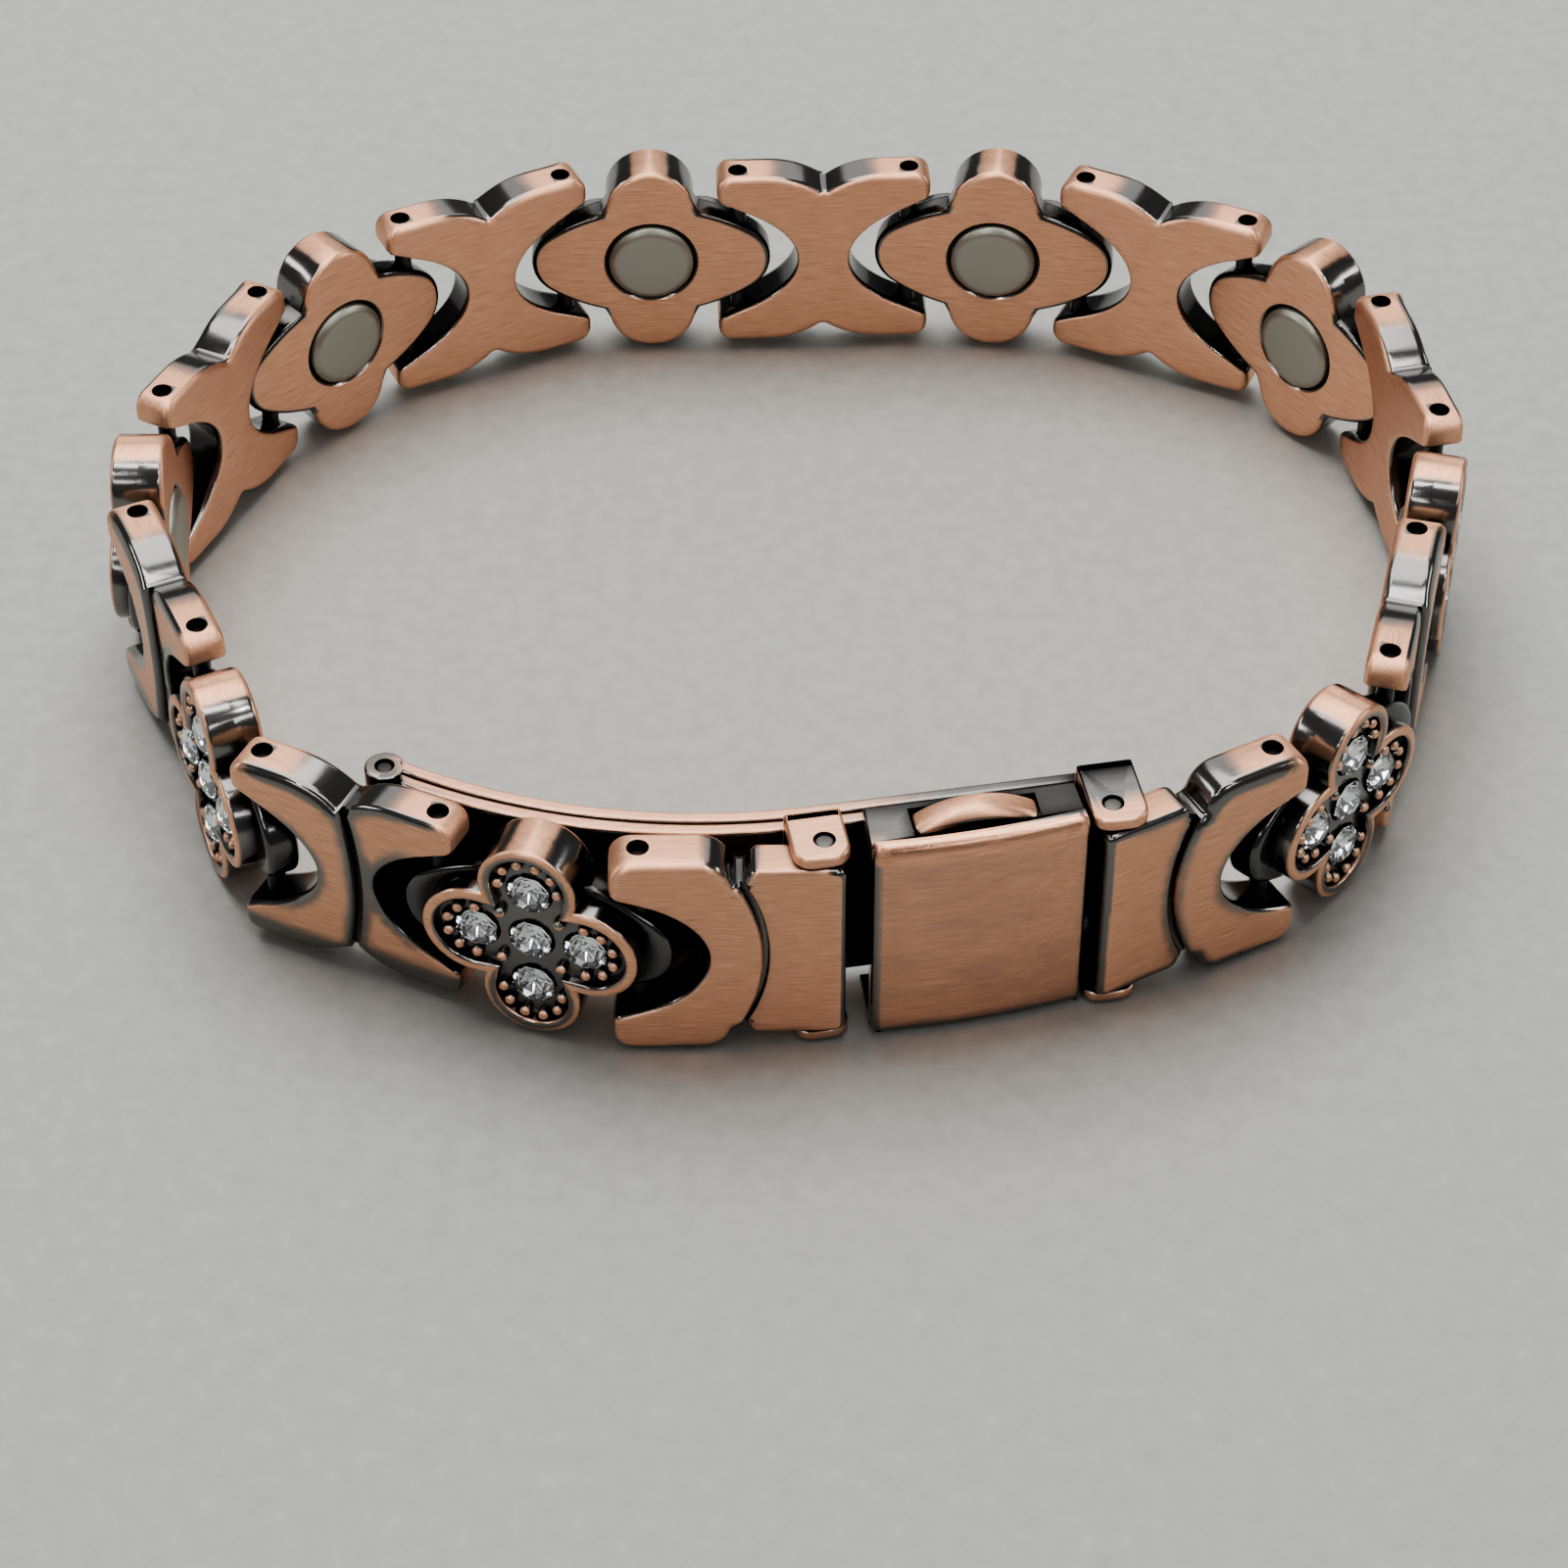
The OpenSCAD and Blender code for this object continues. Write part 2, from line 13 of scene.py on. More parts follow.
import bmesh
import bpy
from mathutils import Matrix, Vector


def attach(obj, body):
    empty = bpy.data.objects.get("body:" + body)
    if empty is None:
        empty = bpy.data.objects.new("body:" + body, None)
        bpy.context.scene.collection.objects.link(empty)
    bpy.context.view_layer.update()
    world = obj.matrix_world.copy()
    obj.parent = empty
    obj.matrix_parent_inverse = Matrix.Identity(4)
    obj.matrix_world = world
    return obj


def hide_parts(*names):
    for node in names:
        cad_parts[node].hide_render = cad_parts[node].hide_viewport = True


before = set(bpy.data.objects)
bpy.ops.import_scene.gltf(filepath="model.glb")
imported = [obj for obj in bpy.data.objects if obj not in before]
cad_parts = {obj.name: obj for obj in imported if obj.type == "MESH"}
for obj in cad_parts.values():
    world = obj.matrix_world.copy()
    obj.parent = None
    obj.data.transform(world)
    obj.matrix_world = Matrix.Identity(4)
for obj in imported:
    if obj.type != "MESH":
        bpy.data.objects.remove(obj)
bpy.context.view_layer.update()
MM = 0.001


def new_object(name, data):
    thing = bpy.data.objects.new(name, data)
    bpy.context.collection.objects.link(thing)
    return thing


# %% [markdown]
# ## Camera
# The camera takes the photograph's view. It was fitted to the links' pins: it looks down at 43.3
# degrees from about 21 cm, at a point that is given from the clasp's right pin.

# %% Camera
CHAIN_START = (14.224, -23.86)
LOOK_AT = (CHAIN_START[0] - 14.922, CHAIN_START[1] + 13.596, 0.25)
CAMERA_DISTANCE = 208.06
CAMERA_ELEVATION = radians(43.3)
CAMERA_LENS = 96.3

camera = new_object("camera", bpy.data.cameras.new("camera"))
camera.data.lens = CAMERA_LENS
camera.data.clip_start = 10 * MM
back = CAMERA_DISTANCE * cos(CAMERA_ELEVATION)
up = CAMERA_DISTANCE * sin(CAMERA_ELEVATION)
camera.location = (LOOK_AT[0] * MM, (LOOK_AT[1] - back) * MM, (LOOK_AT[2] + up) * MM)
camera.rotation_euler = (pi / 2 - CAMERA_ELEVATION, 0, 0)
bpy.context.scene.camera = camera
print("camera at", [round(v, 3) for v in camera.location])

# %% [markdown]
# ## Helpers for materials
# A material is a small graph of nodes. One function adds a node with its values and links, and the
# others name what is needed often. Colours are written as the hex values of a colour picker, and
# turned into the linear values that Blender calculates with.

# %% Colour and node helpers


def linear(hex_colour):
    """Turns a #rrggbb colour into linear red, green, blue and alpha."""
    values = [int(hex_colour[i:i + 2], 16) / 255 for i in (1, 3, 5)]
    return [v / 12.92 if v <= 0.04045 else ((v + 0.055) / 1.055) ** 2.4 for v in values] + [1.0]


def add(tree, kind, inputs=None, **settings):
    """Adds a node. inputs maps a socket's name or number to a value, or to the socket to link."""
    node = tree.nodes.new("ShaderNode" + kind)
    for name, value in settings.items():
        setattr(node, name, value)
    for key, value in (inputs or {}).items():
        if isinstance(value, bpy.types.NodeSocket):
            tree.links.new(value, node.inputs[key])
        else:
            node.inputs[key].default_value = value
    return node


def attribute(tree, name, output):
    return add(tree, "Attribute", attribute_name=name).outputs[output]


def scaled(tree, place, scale):
    return add(tree, "VectorMath", {0: place, 1: scale}, operation="MULTIPLY").outputs[0]


def noise(tree, place, scale, detail, roughness=0.5):
    return add(tree, "TexNoise", {
        "Vector": place, "Scale": scale, "Detail": detail, "Roughness": roughness}).outputs["Fac"]


def multiply_add(tree, a, b, c):
    return add(tree, "Math", {0: a, 1: b, 2: c}, operation="MULTIPLY_ADD").outputs[0]


def remap(tree, value, low, high, to_low=0.0, to_high=1.0, **settings):
    """Brings a value from one range into another."""
    return add(tree, "MapRange", {
        "Value": value, "From Min": low, "From Max": high, "To Min": to_low, "To Max": to_high},
        **settings).outputs[0]


def blend(tree, factor, a, b):
    return add(tree, "Mix", {"Factor": factor, 6: a, 7: b}, data_type="RGBA").outputs[2]


def bumped(tree, height, strength, distance):
    return add(tree, "Bump", {
        "Height": height, "Strength": strength, "Distance": distance}).outputs[0]


def new_material(name):
    material = bpy.data.materials.new(name)
    material.use_nodes = True
    material.node_tree.nodes.clear()
    return material, material.node_tree


def finish_material(tree, inputs):
    """Ends a material with its shader and its output."""
    shader = add(tree, "BsdfPrincipled", inputs)
    add(tree, "OutputMaterial", {0: shader.outputs[0]})


print("copper in linear light:", [round(v, 2) for v in linear("#efb28d")])

# %% [markdown]
# ## Antique copper
# The links are cast, plated with copper and then blackened. The black is brushed off the faces and
# stays in the recesses, where it looks like polished gunmetal. So this is one material with two
# looks: brushed copper, fairly rough, and a dark, smoother metal. Each mesh stores a
# `tone`, 0 where the brush reached and 1 where it didn't. The shader adds the shade of nearby
# corners to it as painted shade, found by ambient occlusion, which also reaches neighbouring parts and
# the floor; in the hollows it stands for the black that stays there. Noise breaks the edge up, which
# gives the worn line. A tone below 0 is an edge that wear has burnished, so its copper is smoother.
#
# Each mesh also stores its `place`, the position in the link's own millimetres, so brush lines
# follow the link. Real ones are about 0.05 mm wide, and they are drawn at 0.07 mm so that they show.
# Lines spread a highlight across themselves: that is the shader's anisotropy, with its tangent laid
# across the lines.

# %% Antique copper values
COPPER_LIGHT = "#efb28d"
COPPER_DEEP = "#b98160"
GUNMETAL = "#6b6966"
BLACK_OXIDE = "#171514"
BRUSH_WIDTH_MM = 0.07
BRUSH_LENGTH_MM = 1.6
BLOTCH_MM = 0.9
PIT_MM = 0.06
# Reach and weight of the ambient occlusion added to the tone: painted shade, and the black kept in hollows
SHADE_AND_PATINA_MM = 0.9
SHADE_AND_PATINA_WEIGHT = 0.8
BLOTCH_WEIGHT = 0.4
BRUSH_WEIGHT = 0.2
GREY_FROM, GREY_TO = 0.42, 1.1
BLACK_FROM, BLACK_TO = 0.95, 1.35
BURNISHED_TONE = -0.4
BURNISHED_ROUGH = 0.22
BRUSHED_ROUGH = 0.4
GUNMETAL_ROUGH = 0.14
BRUSHED_RELIEF_MM = 0.02
GUNMETAL_RELIEF_MM = 0.006
ACROSS_THE_LINES = {0: 0.02, 1: 0.05, 2: 1.0}
print("brush lines of", BRUSH_WIDTH_MM, "by", BRUSH_LENGTH_MM, "mm")

# %% Antique copper material


def make_antique_copper():
    material, tree = new_material("antique_copper_plate")
    place, tone = attribute(tree, "place", "Vector"), attribute(tree, "tone", "Fac")
    lines_per_mm = (1 / BRUSH_LENGTH_MM, 1 / BRUSH_WIDTH_MM, 1 / BRUSH_WIDTH_MM)
    brush = noise(tree, scaled(tree, place, lines_per_mm), 1.0, 3.0, 0.6)
    blotch = noise(tree, scaled(tree, place, (0.3, 1.0, 1.0)), 1 / BLOTCH_MM, 4.0, 0.6)
    pits = noise(tree, place, 1 / PIT_MM, 1.0)
    # Painted shade, in part: occlusion darkens the colour in corners, between neighbouring parts and beside
    # the floor, and also marks the black left in the hollows
    corner = add(tree, "AmbientOcclusion", {"Distance": SHADE_AND_PATINA_MM * MM}, samples=8).outputs["AO"]
    dark = multiply_add(tree, multiply_add(tree, corner, -1.0, 1.0), SHADE_AND_PATINA_WEIGHT, tone)
    grey_share = multiply_add(tree, blotch, BLOTCH_WEIGHT, dark)
    lined = multiply_add(tree, brush, BRUSH_WEIGHT, grey_share)
    mask = remap(tree, lined, GREY_FROM, GREY_TO, interpolation_type="SMOOTHSTEP")
    copper = blend(tree, remap(tree, brush, 0.25, 0.75), linear(COPPER_DEEP), linear(COPPER_LIGHT))
    grey = blend(tree, remap(tree, dark, BLACK_FROM, BLACK_TO), linear(GUNMETAL), linear(BLACK_OXIDE))
    copper_rough = remap(tree, tone, BURNISHED_TONE, 0.0, BURNISHED_ROUGH, BRUSHED_ROUGH)
    relief = multiply_add(tree, pits, 0.3, brush)
    relief_size = remap(tree, mask, 0.0, 1.0, BRUSHED_RELIEF_MM * MM, GUNMETAL_RELIEF_MM * MM)
    finish_material(tree, {
        "Base Color": blend(tree, mask, copper, grey),
        "Metallic": 1.0,
        "Roughness": remap(tree, mask, 0.0, 1.0, copper_rough, GUNMETAL_ROUGH),
        "Normal": bumped(tree, relief, 0.4, relief_size),
        "Anisotropic": remap(tree, mask, 0.0, 1.0, 0.8, 0.2),
        "Tangent": add(tree, "CombineXYZ", ACROSS_THE_LINES).outputs[0]})
    return material


COPPER = make_antique_copper()
print("antique copper nodes:", len(COPPER.node_tree.nodes))

# %% [markdown]
# ## Steel, magnet and crystal
# The pins are drawn steel wire, bare in the clasp's ears and blackened in the links' holes. The
# magnets are under a matt nickel plating, a warm grey with a fine grain. The stones are lead glass
# with a mirror foil on their backs: light goes in through the clear crown and the foil throws it
# back. The crown therefore is a glass shader, and the point below it is a bright metal.

# %% Steel, magnet and crystal materials
ROUGHNESS_SPREAD = 0.06
CRYSTAL_TINT = "#f4f8fa"
LEAD_GLASS_IOR = 1.58


def make_plain_metal(name, colour, roughness, grain_mm, bump_mm):
    """A metal whose only mark is a fine, even grain."""
    material, tree = new_material(name)
    grain = noise(tree, attribute(tree, "place", "Vector"), 1 / grain_mm, 2.0)
    low, high = roughness - ROUGHNESS_SPREAD, roughness + ROUGHNESS_SPREAD
    finish_material(tree, {
        "Base Color": linear(colour), "Metallic": 1.0, "Roughness": remap(tree, grain, 0.0, 1.0, low, high),
        "Normal": bumped(tree, grain, 0.4, bump_mm * MM)})
    return material


def make_crystal():
    material, tree = new_material("cut_crystal_glass")
    finish_material(tree, {
        "Base Color": linear(CRYSTAL_TINT), "Roughness": 0.01, "IOR": LEAD_GLASS_IOR,
        "Transmission Weight": 1.0})
    return material


STEEL = make_plain_metal("drawn_steel_wire", "#4f4d4a", 0.42, 0.2, 0.01)
NICKEL = make_plain_metal("matt_nickel_plate", "#908e83", 0.4, 0.12, 0.01)
FOIL = make_plain_metal("silver_mirror_foil", "#fbfcfd", 0.07, 0.5, 0.001)
DARK_STEEL = make_plain_metal("blackened_steel_wire", "#2b2928", 0.4, 0.2, 0.01)
CRYSTAL = make_crystal()
LINK_METALS = [COPPER, DARK_STEEL]
print("metals:", [m.name for m in (STEEL, NICKEL, FOIL, DARK_STEEL)])

# %% [markdown]
# ## Outlines
# Every link is a flat shape with some thickness, so its drawing is a list of points. An arc gives
# the round stretches, and mirroring one quarter gives the whole outline, which keeps its halves
# alike. Long edges get more points, because the tone sits on points and has to change along them.

# %% Outline helpers
SAME_POINT_MM = 0.004
SHARPEST_CORNER = 0.6


def arc(x, z, r, a0, a1, steps=6):
    angles = [radians(a0 + (a1 - a0) * i / steps) for i in range(steps + 1)]
    return [(x + r * cos(a), z + r * sin(a)) for a in angles]


def circle(x, z, r, steps=24):
    return arc(x, z, r, 0, 360 - 360 / steps, steps - 1)


def flip_x(points):
    return [(-x, z) for x, z in reversed(points)]


def flip_z(points):
    return [(x, -z) for x, z in reversed(points)]


def tidy(points):
    """Drops points that fall on the one before them."""
    kept = []
    for p in points:
        if not kept or dist(p, kept[-1]) > SAME_POINT_MM:
            kept.append(p)
    return kept[:-1] if dist(kept[0], kept[-1]) < SAME_POINT_MM else kept


def dense(points, step=0.5):
    """Puts more points on an outline's long edges."""
    closer = []
    for i, p in enumerate(points):
        q = points[(i + 1) % len(points)]
        count = max(1, round(dist(p, q) / step))
        closer += [(p[0] + (q[0] - p[0]) * k / count, p[1] + (q[1] - p[1]) * k / count)
                   for k in range(count)]
    return closer


def whole(right, left):
    """A whole outline from its upper quarters, with the left one drawn on the right too."""
    upper = right + flip_x(left)
    return tidy(upper + flip_z(upper))


def four_way(quarter):
    return whole(quarter, quarter)


def drawn_in(points, distance, ease=None):
    """Moves a closed outline inwards, corner by corner. ease gives each point's share."""
    moved_in = []
    for i, (x, z) in enumerate(points):
        before = Vector((x - points[i - 1][0], z - points[i - 1][1])).normalized()
        after_point = points[(i + 1) % len(points)]
        after = Vector((after_point[0] - x, after_point[1] - z)).normalized()
        normal = Vector((-before.y, before.x))
        corner = normal + Vector((-after.y, after.x))
        share = ease(x, z) if ease else 1.0
        step = corner * (share * distance / max(corner.dot(normal), SHARPEST_CORNER))
        moved_in.append((x + step.x, z + step.y))
    return moved_in


print("a circle of", len(circle(0, 0, 1)), "points")

# %% [markdown]
# ## Solids with rounded edges
# A real link has no sharp edge, and that roundness is what catches the light. Blender's Bevel
# modifier narrows all its bevels to the mesh's tightest corner, so each solid is stacked from rings
# instead. A profile lists heights, each with how far the outline is drawn in there, and a quarter
# circle in the profile is a rounded edge.

# %% Stacks of rings


def rounded(low, high, low_r, high_r, steps=4):
    """A profile from low to high whose two ends are rounded: pairs of height and inset."""
    turn = [radians(90 * i / steps) for i in range(steps + 1)]
    foot = [(low + low_r * (1 - cos(a)), low_r * (1 - sin(a))) for a in turn]
    head = [(high - high_r * (1 - cos(a)), high_r * (1 - sin(a))) for a in reversed(turn)]
    return (foot if low_r else [(low, 0)]) + (head if high_r else [(high, 0)])


def stack(outline, profile, ease=None):
    """A closed solid of points (x, height, z) and faces, with a flat end at both sides."""
    size = len(outline)
    points = [(x, height, z) for height, inset in profile for x, z in drawn_in(outline, inset, ease)]
    faces = []
    for ring in range(len(profile) - 1):
        for i in range(size):
            j = (i + 1) % size
            faces.append((ring * size + i, ring * size + j, (ring + 1) * size + j, (ring + 1) * size + i))
    last = (len(profile) - 1) * size
    faces.append(tuple(range(size)))
    faces.append(tuple(last + i for i in reversed(range(size))))
    return points, faces


def outwards(*drawing):
    """Stacks along the link's depth, towards the outside of the loop."""
    points, faces = stack(*drawing)
    return [(x, -h, z) for x, h, z in points], faces


def upwards(*drawing):
    """Stacks along z, for outlines that are drawn from above."""
    points, faces = stack(*drawing)
    return [(x, y, h) for x, h, y in points], faces


def moved(solid, x):
    return [(px + x, y, z) for px, y, z in solid[0]], solid[1]


def mirrored(solid):
    return [(-x, y, z) for x, y, z in solid[0]], solid[1]


def rod(x, y, r, low, high, steps=24):
    return upwards(circle(x, y, r, steps), [(low, 0), (high, 0)])


print("a rounded profile has", len(rounded(0, 1, 0.2, 0.2)), "rings")

# %% [markdown]
# ## Meshes and holes
# The pins' holes are drilled, and here a Boolean takes a rod away. Its exact solver copes with the
# thin walls. A flat face has points only at its rim, so it is cut along a grid as well, which lets
# the tone change inside it.

# %% Meshes and holes
BORE_R = 0.53
BORE_REACH = 12
ON_PLANE_MM = 0.0005


def bore(x, y, steps=16, r=BORE_R):
    """The rod that a pin's hole leaves free."""
    return rod(x, y, r, -BORE_REACH, BORE_REACH, steps)


def cut_to_grid(bm, grid):
    for axis in (0, 2):
        normal = Vector((1, 0, 0) if axis == 0 else (0, 0, 1))
        reach = max(abs(v.co[axis]) for v in bm.verts)
        count = int(reach / grid)
        for i in range(-count, count + 1):
            faces = [f for f in bm.faces if max(abs(f.normal.y), abs(f.normal.z)) > 0.999]
            edges = {e for f in faces for e in f.edges}
            verts = {v for f in faces for v in f.verts}
            bmesh.ops.bisect_plane(bm, geom=[*verts, *edges, *faces], dist=ON_PLANE_MM,
                                   plane_co=normal * i * grid, plane_no=normal)
            bm.normal_update()


def to_mesh(solids, name, scale=1.0, grid=None):
    """Joins solids into one mesh with its normals turned outwards."""
    bm = bmesh.new()
    for points, faces in solids:
        verts = [bm.verts.new(p) for p in points]
        made = [bm.faces.new([verts[i] for i in face]) for face in faces]
        bmesh.ops.recalc_face_normals(bm, faces=made)
    if grid:
        cut_to_grid(bm, grid)
    bmesh.ops.scale(bm, vec=(scale, scale, scale), verts=bm.verts)
    mesh = bpy.data.meshes.new(name)
    bm.to_mesh(mesh)
    bm.free()
    return mesh


def cut(solid, cutters):
    """Takes the cutters away from a solid with Blender's exact Boolean."""
    target, tool = [new_object("cut", to_mesh(part, "cut")) for part in ([solid], cutters)]
    boolean = target.modifiers.new("cut", "BOOLEAN")
    boolean.operation = "DIFFERENCE"
    boolean.solver = "EXACT"
    boolean.use_self = len(cutters) > 1
    boolean.object = tool
    bpy.context.view_layer.update()
    result = target.evaluated_get(bpy.context.evaluated_depsgraph_get()).to_mesh()
    points = [tuple(v.co) for v in result.vertices]
    faces = [tuple(p.vertices) for p in result.polygons]
    for mesh in (target.data, tool.data):
        bpy.data.meshes.remove(mesh)
    return points, faces


print("holes of %.2f mm across" % (2 * BORE_R))

# %% [markdown]
# ## From solids to pieces
# A finished mesh gets its `place` and `tone` on every point, and smooth shading with sharp corners.
# Each piece is a copy of one, with weighted normals that keep its flat faces flat up to their
# rounded edges.

# %% Finish a mesh
SHARP_FROM = radians(38)


def ramp(low, high, value):
    t = min(max((value - low) / (high - low), 0.0), 1.0)
    return t * t * (3 - 2 * t)


def clean(p, n):
    """The tone of a piece without dark parts."""
    return 0.0


def finish_mesh(solids, name, materials, tone=clean, material_of=None, grid=None):
    """Makes one kind of piece. tone is a function of place (x, depth, z) and normal."""
    mesh = to_mesh(solids, name, MM, grid)
    for material in materials:
        mesh.materials.append(material)
    mesh.attributes.new("place", "FLOAT_VECTOR", "POINT")
    mesh.attributes.new("tone", "FLOAT", "POINT")
    place, tones = mesh.attributes["place"], mesh.attributes["tone"]
    for v in mesh.vertices:
        spot = Vector((v.co.x, -v.co.y, v.co.z)) / MM
        normal = Vector((v.normal.x, -v.normal.y, v.normal.z))
        place.data[v.index].vector = spot
        tones.data[v.index].value = tone(spot, normal)
    if material_of:
        for face in mesh.polygons:
            face.material_index = material_of(face)
    mesh.shade_smooth()
    mesh.set_sharp_from_angle(angle=SHARP_FROM)
    return mesh


def bore_material(holes):
    """Gives the second material to the walls of a link's upright holes, given by x and depth."""
    def material_of(face):
        x, depth = face.center.x / MM, -face.center.y / MM
        near = any(hypot(x - hole_x, depth - hole_depth) < BORE_R for hole_x, hole_depth in holes)
        return int(near and abs(face.normal.z) < 0.5)
    return material_of


def place_piece(name, mesh, matrix, body="bracelet"):
    """Puts a copy of the mesh where its CAD node is, and hides that node."""
    piece = new_object(name, mesh.copy())
    piece.data.transform(matrix)
    normals = piece.modifiers.new("flat_faces", "WEIGHTED_NORMAL")
    normals.keep_sharp = True
    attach(piece, body)
    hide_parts(name.removesuffix("_piece"))
    return piece


print("sharp from %.0f degrees" % degrees(SHARP_FROM))

# %% [markdown]
# ## Where the links lie
# The chain is a row of pitches and headings, counter-clockwise from the clasp's right pin. The
# headings are what the photograph shows: the loop was set down by hand, so it isn't quite even.

# %% The chain
FLOWER_PITCH = 9.6
CROSS_PITCH = 9.3
END_PITCH = 8.4
MID_Z = 6.0
HEADINGS = [26, 49.5, 76, 77, 102.5, 131.5, 155, 173.5, 182.5, 182.5,
            205.5, 223, 244, 269, 294, 294, 334, 342.5, 363.5]


def pitch(i):
    if i in (0, len(HEADINGS) - 1):
        return END_PITCH
    return FLOWER_PITCH if i % 2 else CROSS_PITCH


JOINTS = [Vector((*CHAIN_START, MID_Z))]
for number, heading in enumerate(HEADINGS):
    angle = radians(heading)
    JOINTS.append(JOINTS[-1] + pitch(number) * Vector((cos(angle), sin(angle), 0)))


def frame_at(point, heading):
    return Matrix.Translation(Vector(point) * MM) @ Matrix.Rotation(radians(heading), 4, "Z")


def link_frame(i):
    return frame_at((JOINTS[i] + JOINTS[i + 1]) / 2, HEADINGS[i])


links_length = sum(pitch(i) for i in range(len(HEADINGS)))
print("length along the pins: %.1f mm" % (links_length + dist(JOINTS[0], JOINTS[-1])))

# %% [markdown]
# ## Flower links
# A flower link is one casting: a plate with a tongue to each side, and on it a raised four-lobed
# rim. The rim's lobes share their walls with the plate's upper and lower lobes. Inside the rim lies
# a sunk, blackened bed with a cup for each stone and a row of tiny grains along the rim.

# %% Flower outlines
LOBE_R = 2.4
LOBE_Z = 3.35
SIDE_R = 2.6
SIDE_X = 2.65
TONGUE_REACH = 6.55
TONGUE_R = 9.8
TONGUE_DROP = 6.2
THROAT_X = LOBE_R + 0.25

tip_r = (TONGUE_R ** 2 - TONGUE_REACH ** 2 - TONGUE_DROP ** 2) / (2 * (TONGUE_R - TONGUE_REACH))
tip_x = TONGUE_REACH - tip_r
tip_angle = degrees(atan2(TONGUE_DROP, tip_x))
throat_angle = degrees(acos(THROAT_X / TONGUE_R))
tongue_edge = (arc(tip_x, 0, tip_r, 0, tip_angle)
               + arc(0, -TONGUE_DROP, TONGUE_R, tip_angle, throat_angle, 8))
tongue_root = [(1.0, tongue_edge[-1][1])]
PLATE_OUTLINE = four_way(tongue_edge + arc(0, LOBE_Z, LOBE_R, 12, 90, 10))
TONGUE_OUTLINE = tidy(flip_z(tongue_edge + tongue_root) + tongue_edge + tongue_root)

lobe_gap = hypot(SIDE_X, LOBE_Z)
to_meeting = (LOBE_R ** 2 - SIDE_R ** 2 + lobe_gap ** 2) / (2 * lobe_gap)
off_meeting = sqrt(LOBE_R ** 2 - to_meeting ** 2)
meeting = (to_meeting * SIDE_X / lobe_gap + off_meeting * LOBE_Z / lobe_gap,
           LOBE_Z - to_meeting * LOBE_Z / lobe_gap + off_meeting * SIDE_X / lobe_gap)
side_turn = degrees(atan2(meeting[1], meeting[0] - SIDE_X))
lobe_turn = degrees(atan2(meeting[1] - LOBE_Z, meeting[0]))
RIM_OUTLINE = four_way(arc(SIDE_X, 0, SIDE_R, 0, side_turn, 9) + arc(0, LOBE_Z, LOBE_R, lobe_turn, 90, 9))
print("points on the plate and the rim:", len(PLATE_OUTLINE), len(RIM_OUTLINE))

# %% [markdown]
# The grains are the heads of cut beads: a short post with a round cap. They stand on the lobes'
# curves, evenly spaced, and one more in each inner corner.

# %% Grains
FLOWER_BACK = -0.85
TONGUE_FACE = 0.75
SEAM = TONGUE_FACE - 0.35
RIM_FACE = 1.85
BED_FACE = RIM_FACE - 0.5
GRAIN_RING = 1.45
GRAIN_R = 0.29
GRAIN_CAP = [(-0.05, 0), (0.2, 0), (0.34, 0.05), (0.42, 0.14)]


def lobe_grains(x, z, facing):
    spots = [radians(facing + a) for a in (-90, -54, -18, 18, 54, 90)]
    return [(x + GRAIN_RING * cos(a), z + GRAIN_RING * sin(a)) for a in spots]


def grain(x, z):
    cap = [(BED_FACE + up, inset) for up, inset in GRAIN_CAP]
    return outwards(circle(x, z, GRAIN_R, 10), cap)


GRAINS = (lobe_grains(SIDE_X, 0, 0) + lobe_grains(0, LOBE_Z, 90) + lobe_grains(-SIDE_X, 0, 180)
          + lobe_grains(0, -LOBE_Z, 270)
          + [(sx * GRAIN_RING, sz * GRAIN_RING) for sx in (-1, 1) for sz in (-1, 1)])
print("grains on a link:", len(GRAINS))

# %% [markdown]
# The solids are stacked on each other and share a seam. A point on a seam has a slanted normal, so
# its tone isn't taken from the normal: it counts as wall. The black stays in the bed and on the
# walls, and the faces, the lobes' tops and the grains' caps are clean.

# %% Flower solids
STONES = [(0, 0), (2.65, 0), (0, 2.9), (-2.65, 0), (0, -2.9)]
STONE_R = 1.05
CUP_R = STONE_R + 0.1
CUP_DEPTH = 0.6
RIM_W = 0.6
SEAT_R = 2.6
SEAT_EDGE = 0.15
BED_TONE = 0.85
LOBE_FROM = 3.2
LOBE_TONE = 0.95
TONGUE_TONE = 1.15
CLEAN_TONE = 0.05


def flower_solids():
    plate = outwards(PLATE_OUTLINE, rounded(FLOWER_BACK, SEAM, 0.35, 0))
    seat = [(-3, 0), (FLOWER_BACK, 0), (FLOWER_BACK + SEAT_EDGE, SEAT_EDGE), (0, SEAT_EDGE)]
    holes = [bore(side * FLOWER_PITCH / 2, 0) for side in (-1, 1)]
    plate = cut(plate, holes + [outwards(circle(0, 0, SEAT_R, 40), seat)])
    tongue = outwards(TONGUE_OUTLINE, rounded(SEAM, TONGUE_FACE, 0, 0.3))
    outside = rounded(TONGUE_FACE, RIM_FACE, 0, 0.24, 3)[1:]
    inside = [(h, RIM_W - i) for h, i in reversed(rounded(TONGUE_FACE, RIM_FACE, 0, 0.16, 3)[1:])]
    rim = outwards(RIM_OUTLINE, [(SEAM, 0)] + outside + inside + [(BED_FACE, RIM_W)])
    cup = [(BED_FACE - CUP_DEPTH, 0), (3, 0)]
    rim = cut(rim, [outwards(circle(x, z, CUP_R, 20), cup) for x, z in STONES])
    return [plate, tongue, mirrored(tongue), rim] + [grain(x, z) for x, z in GRAINS]


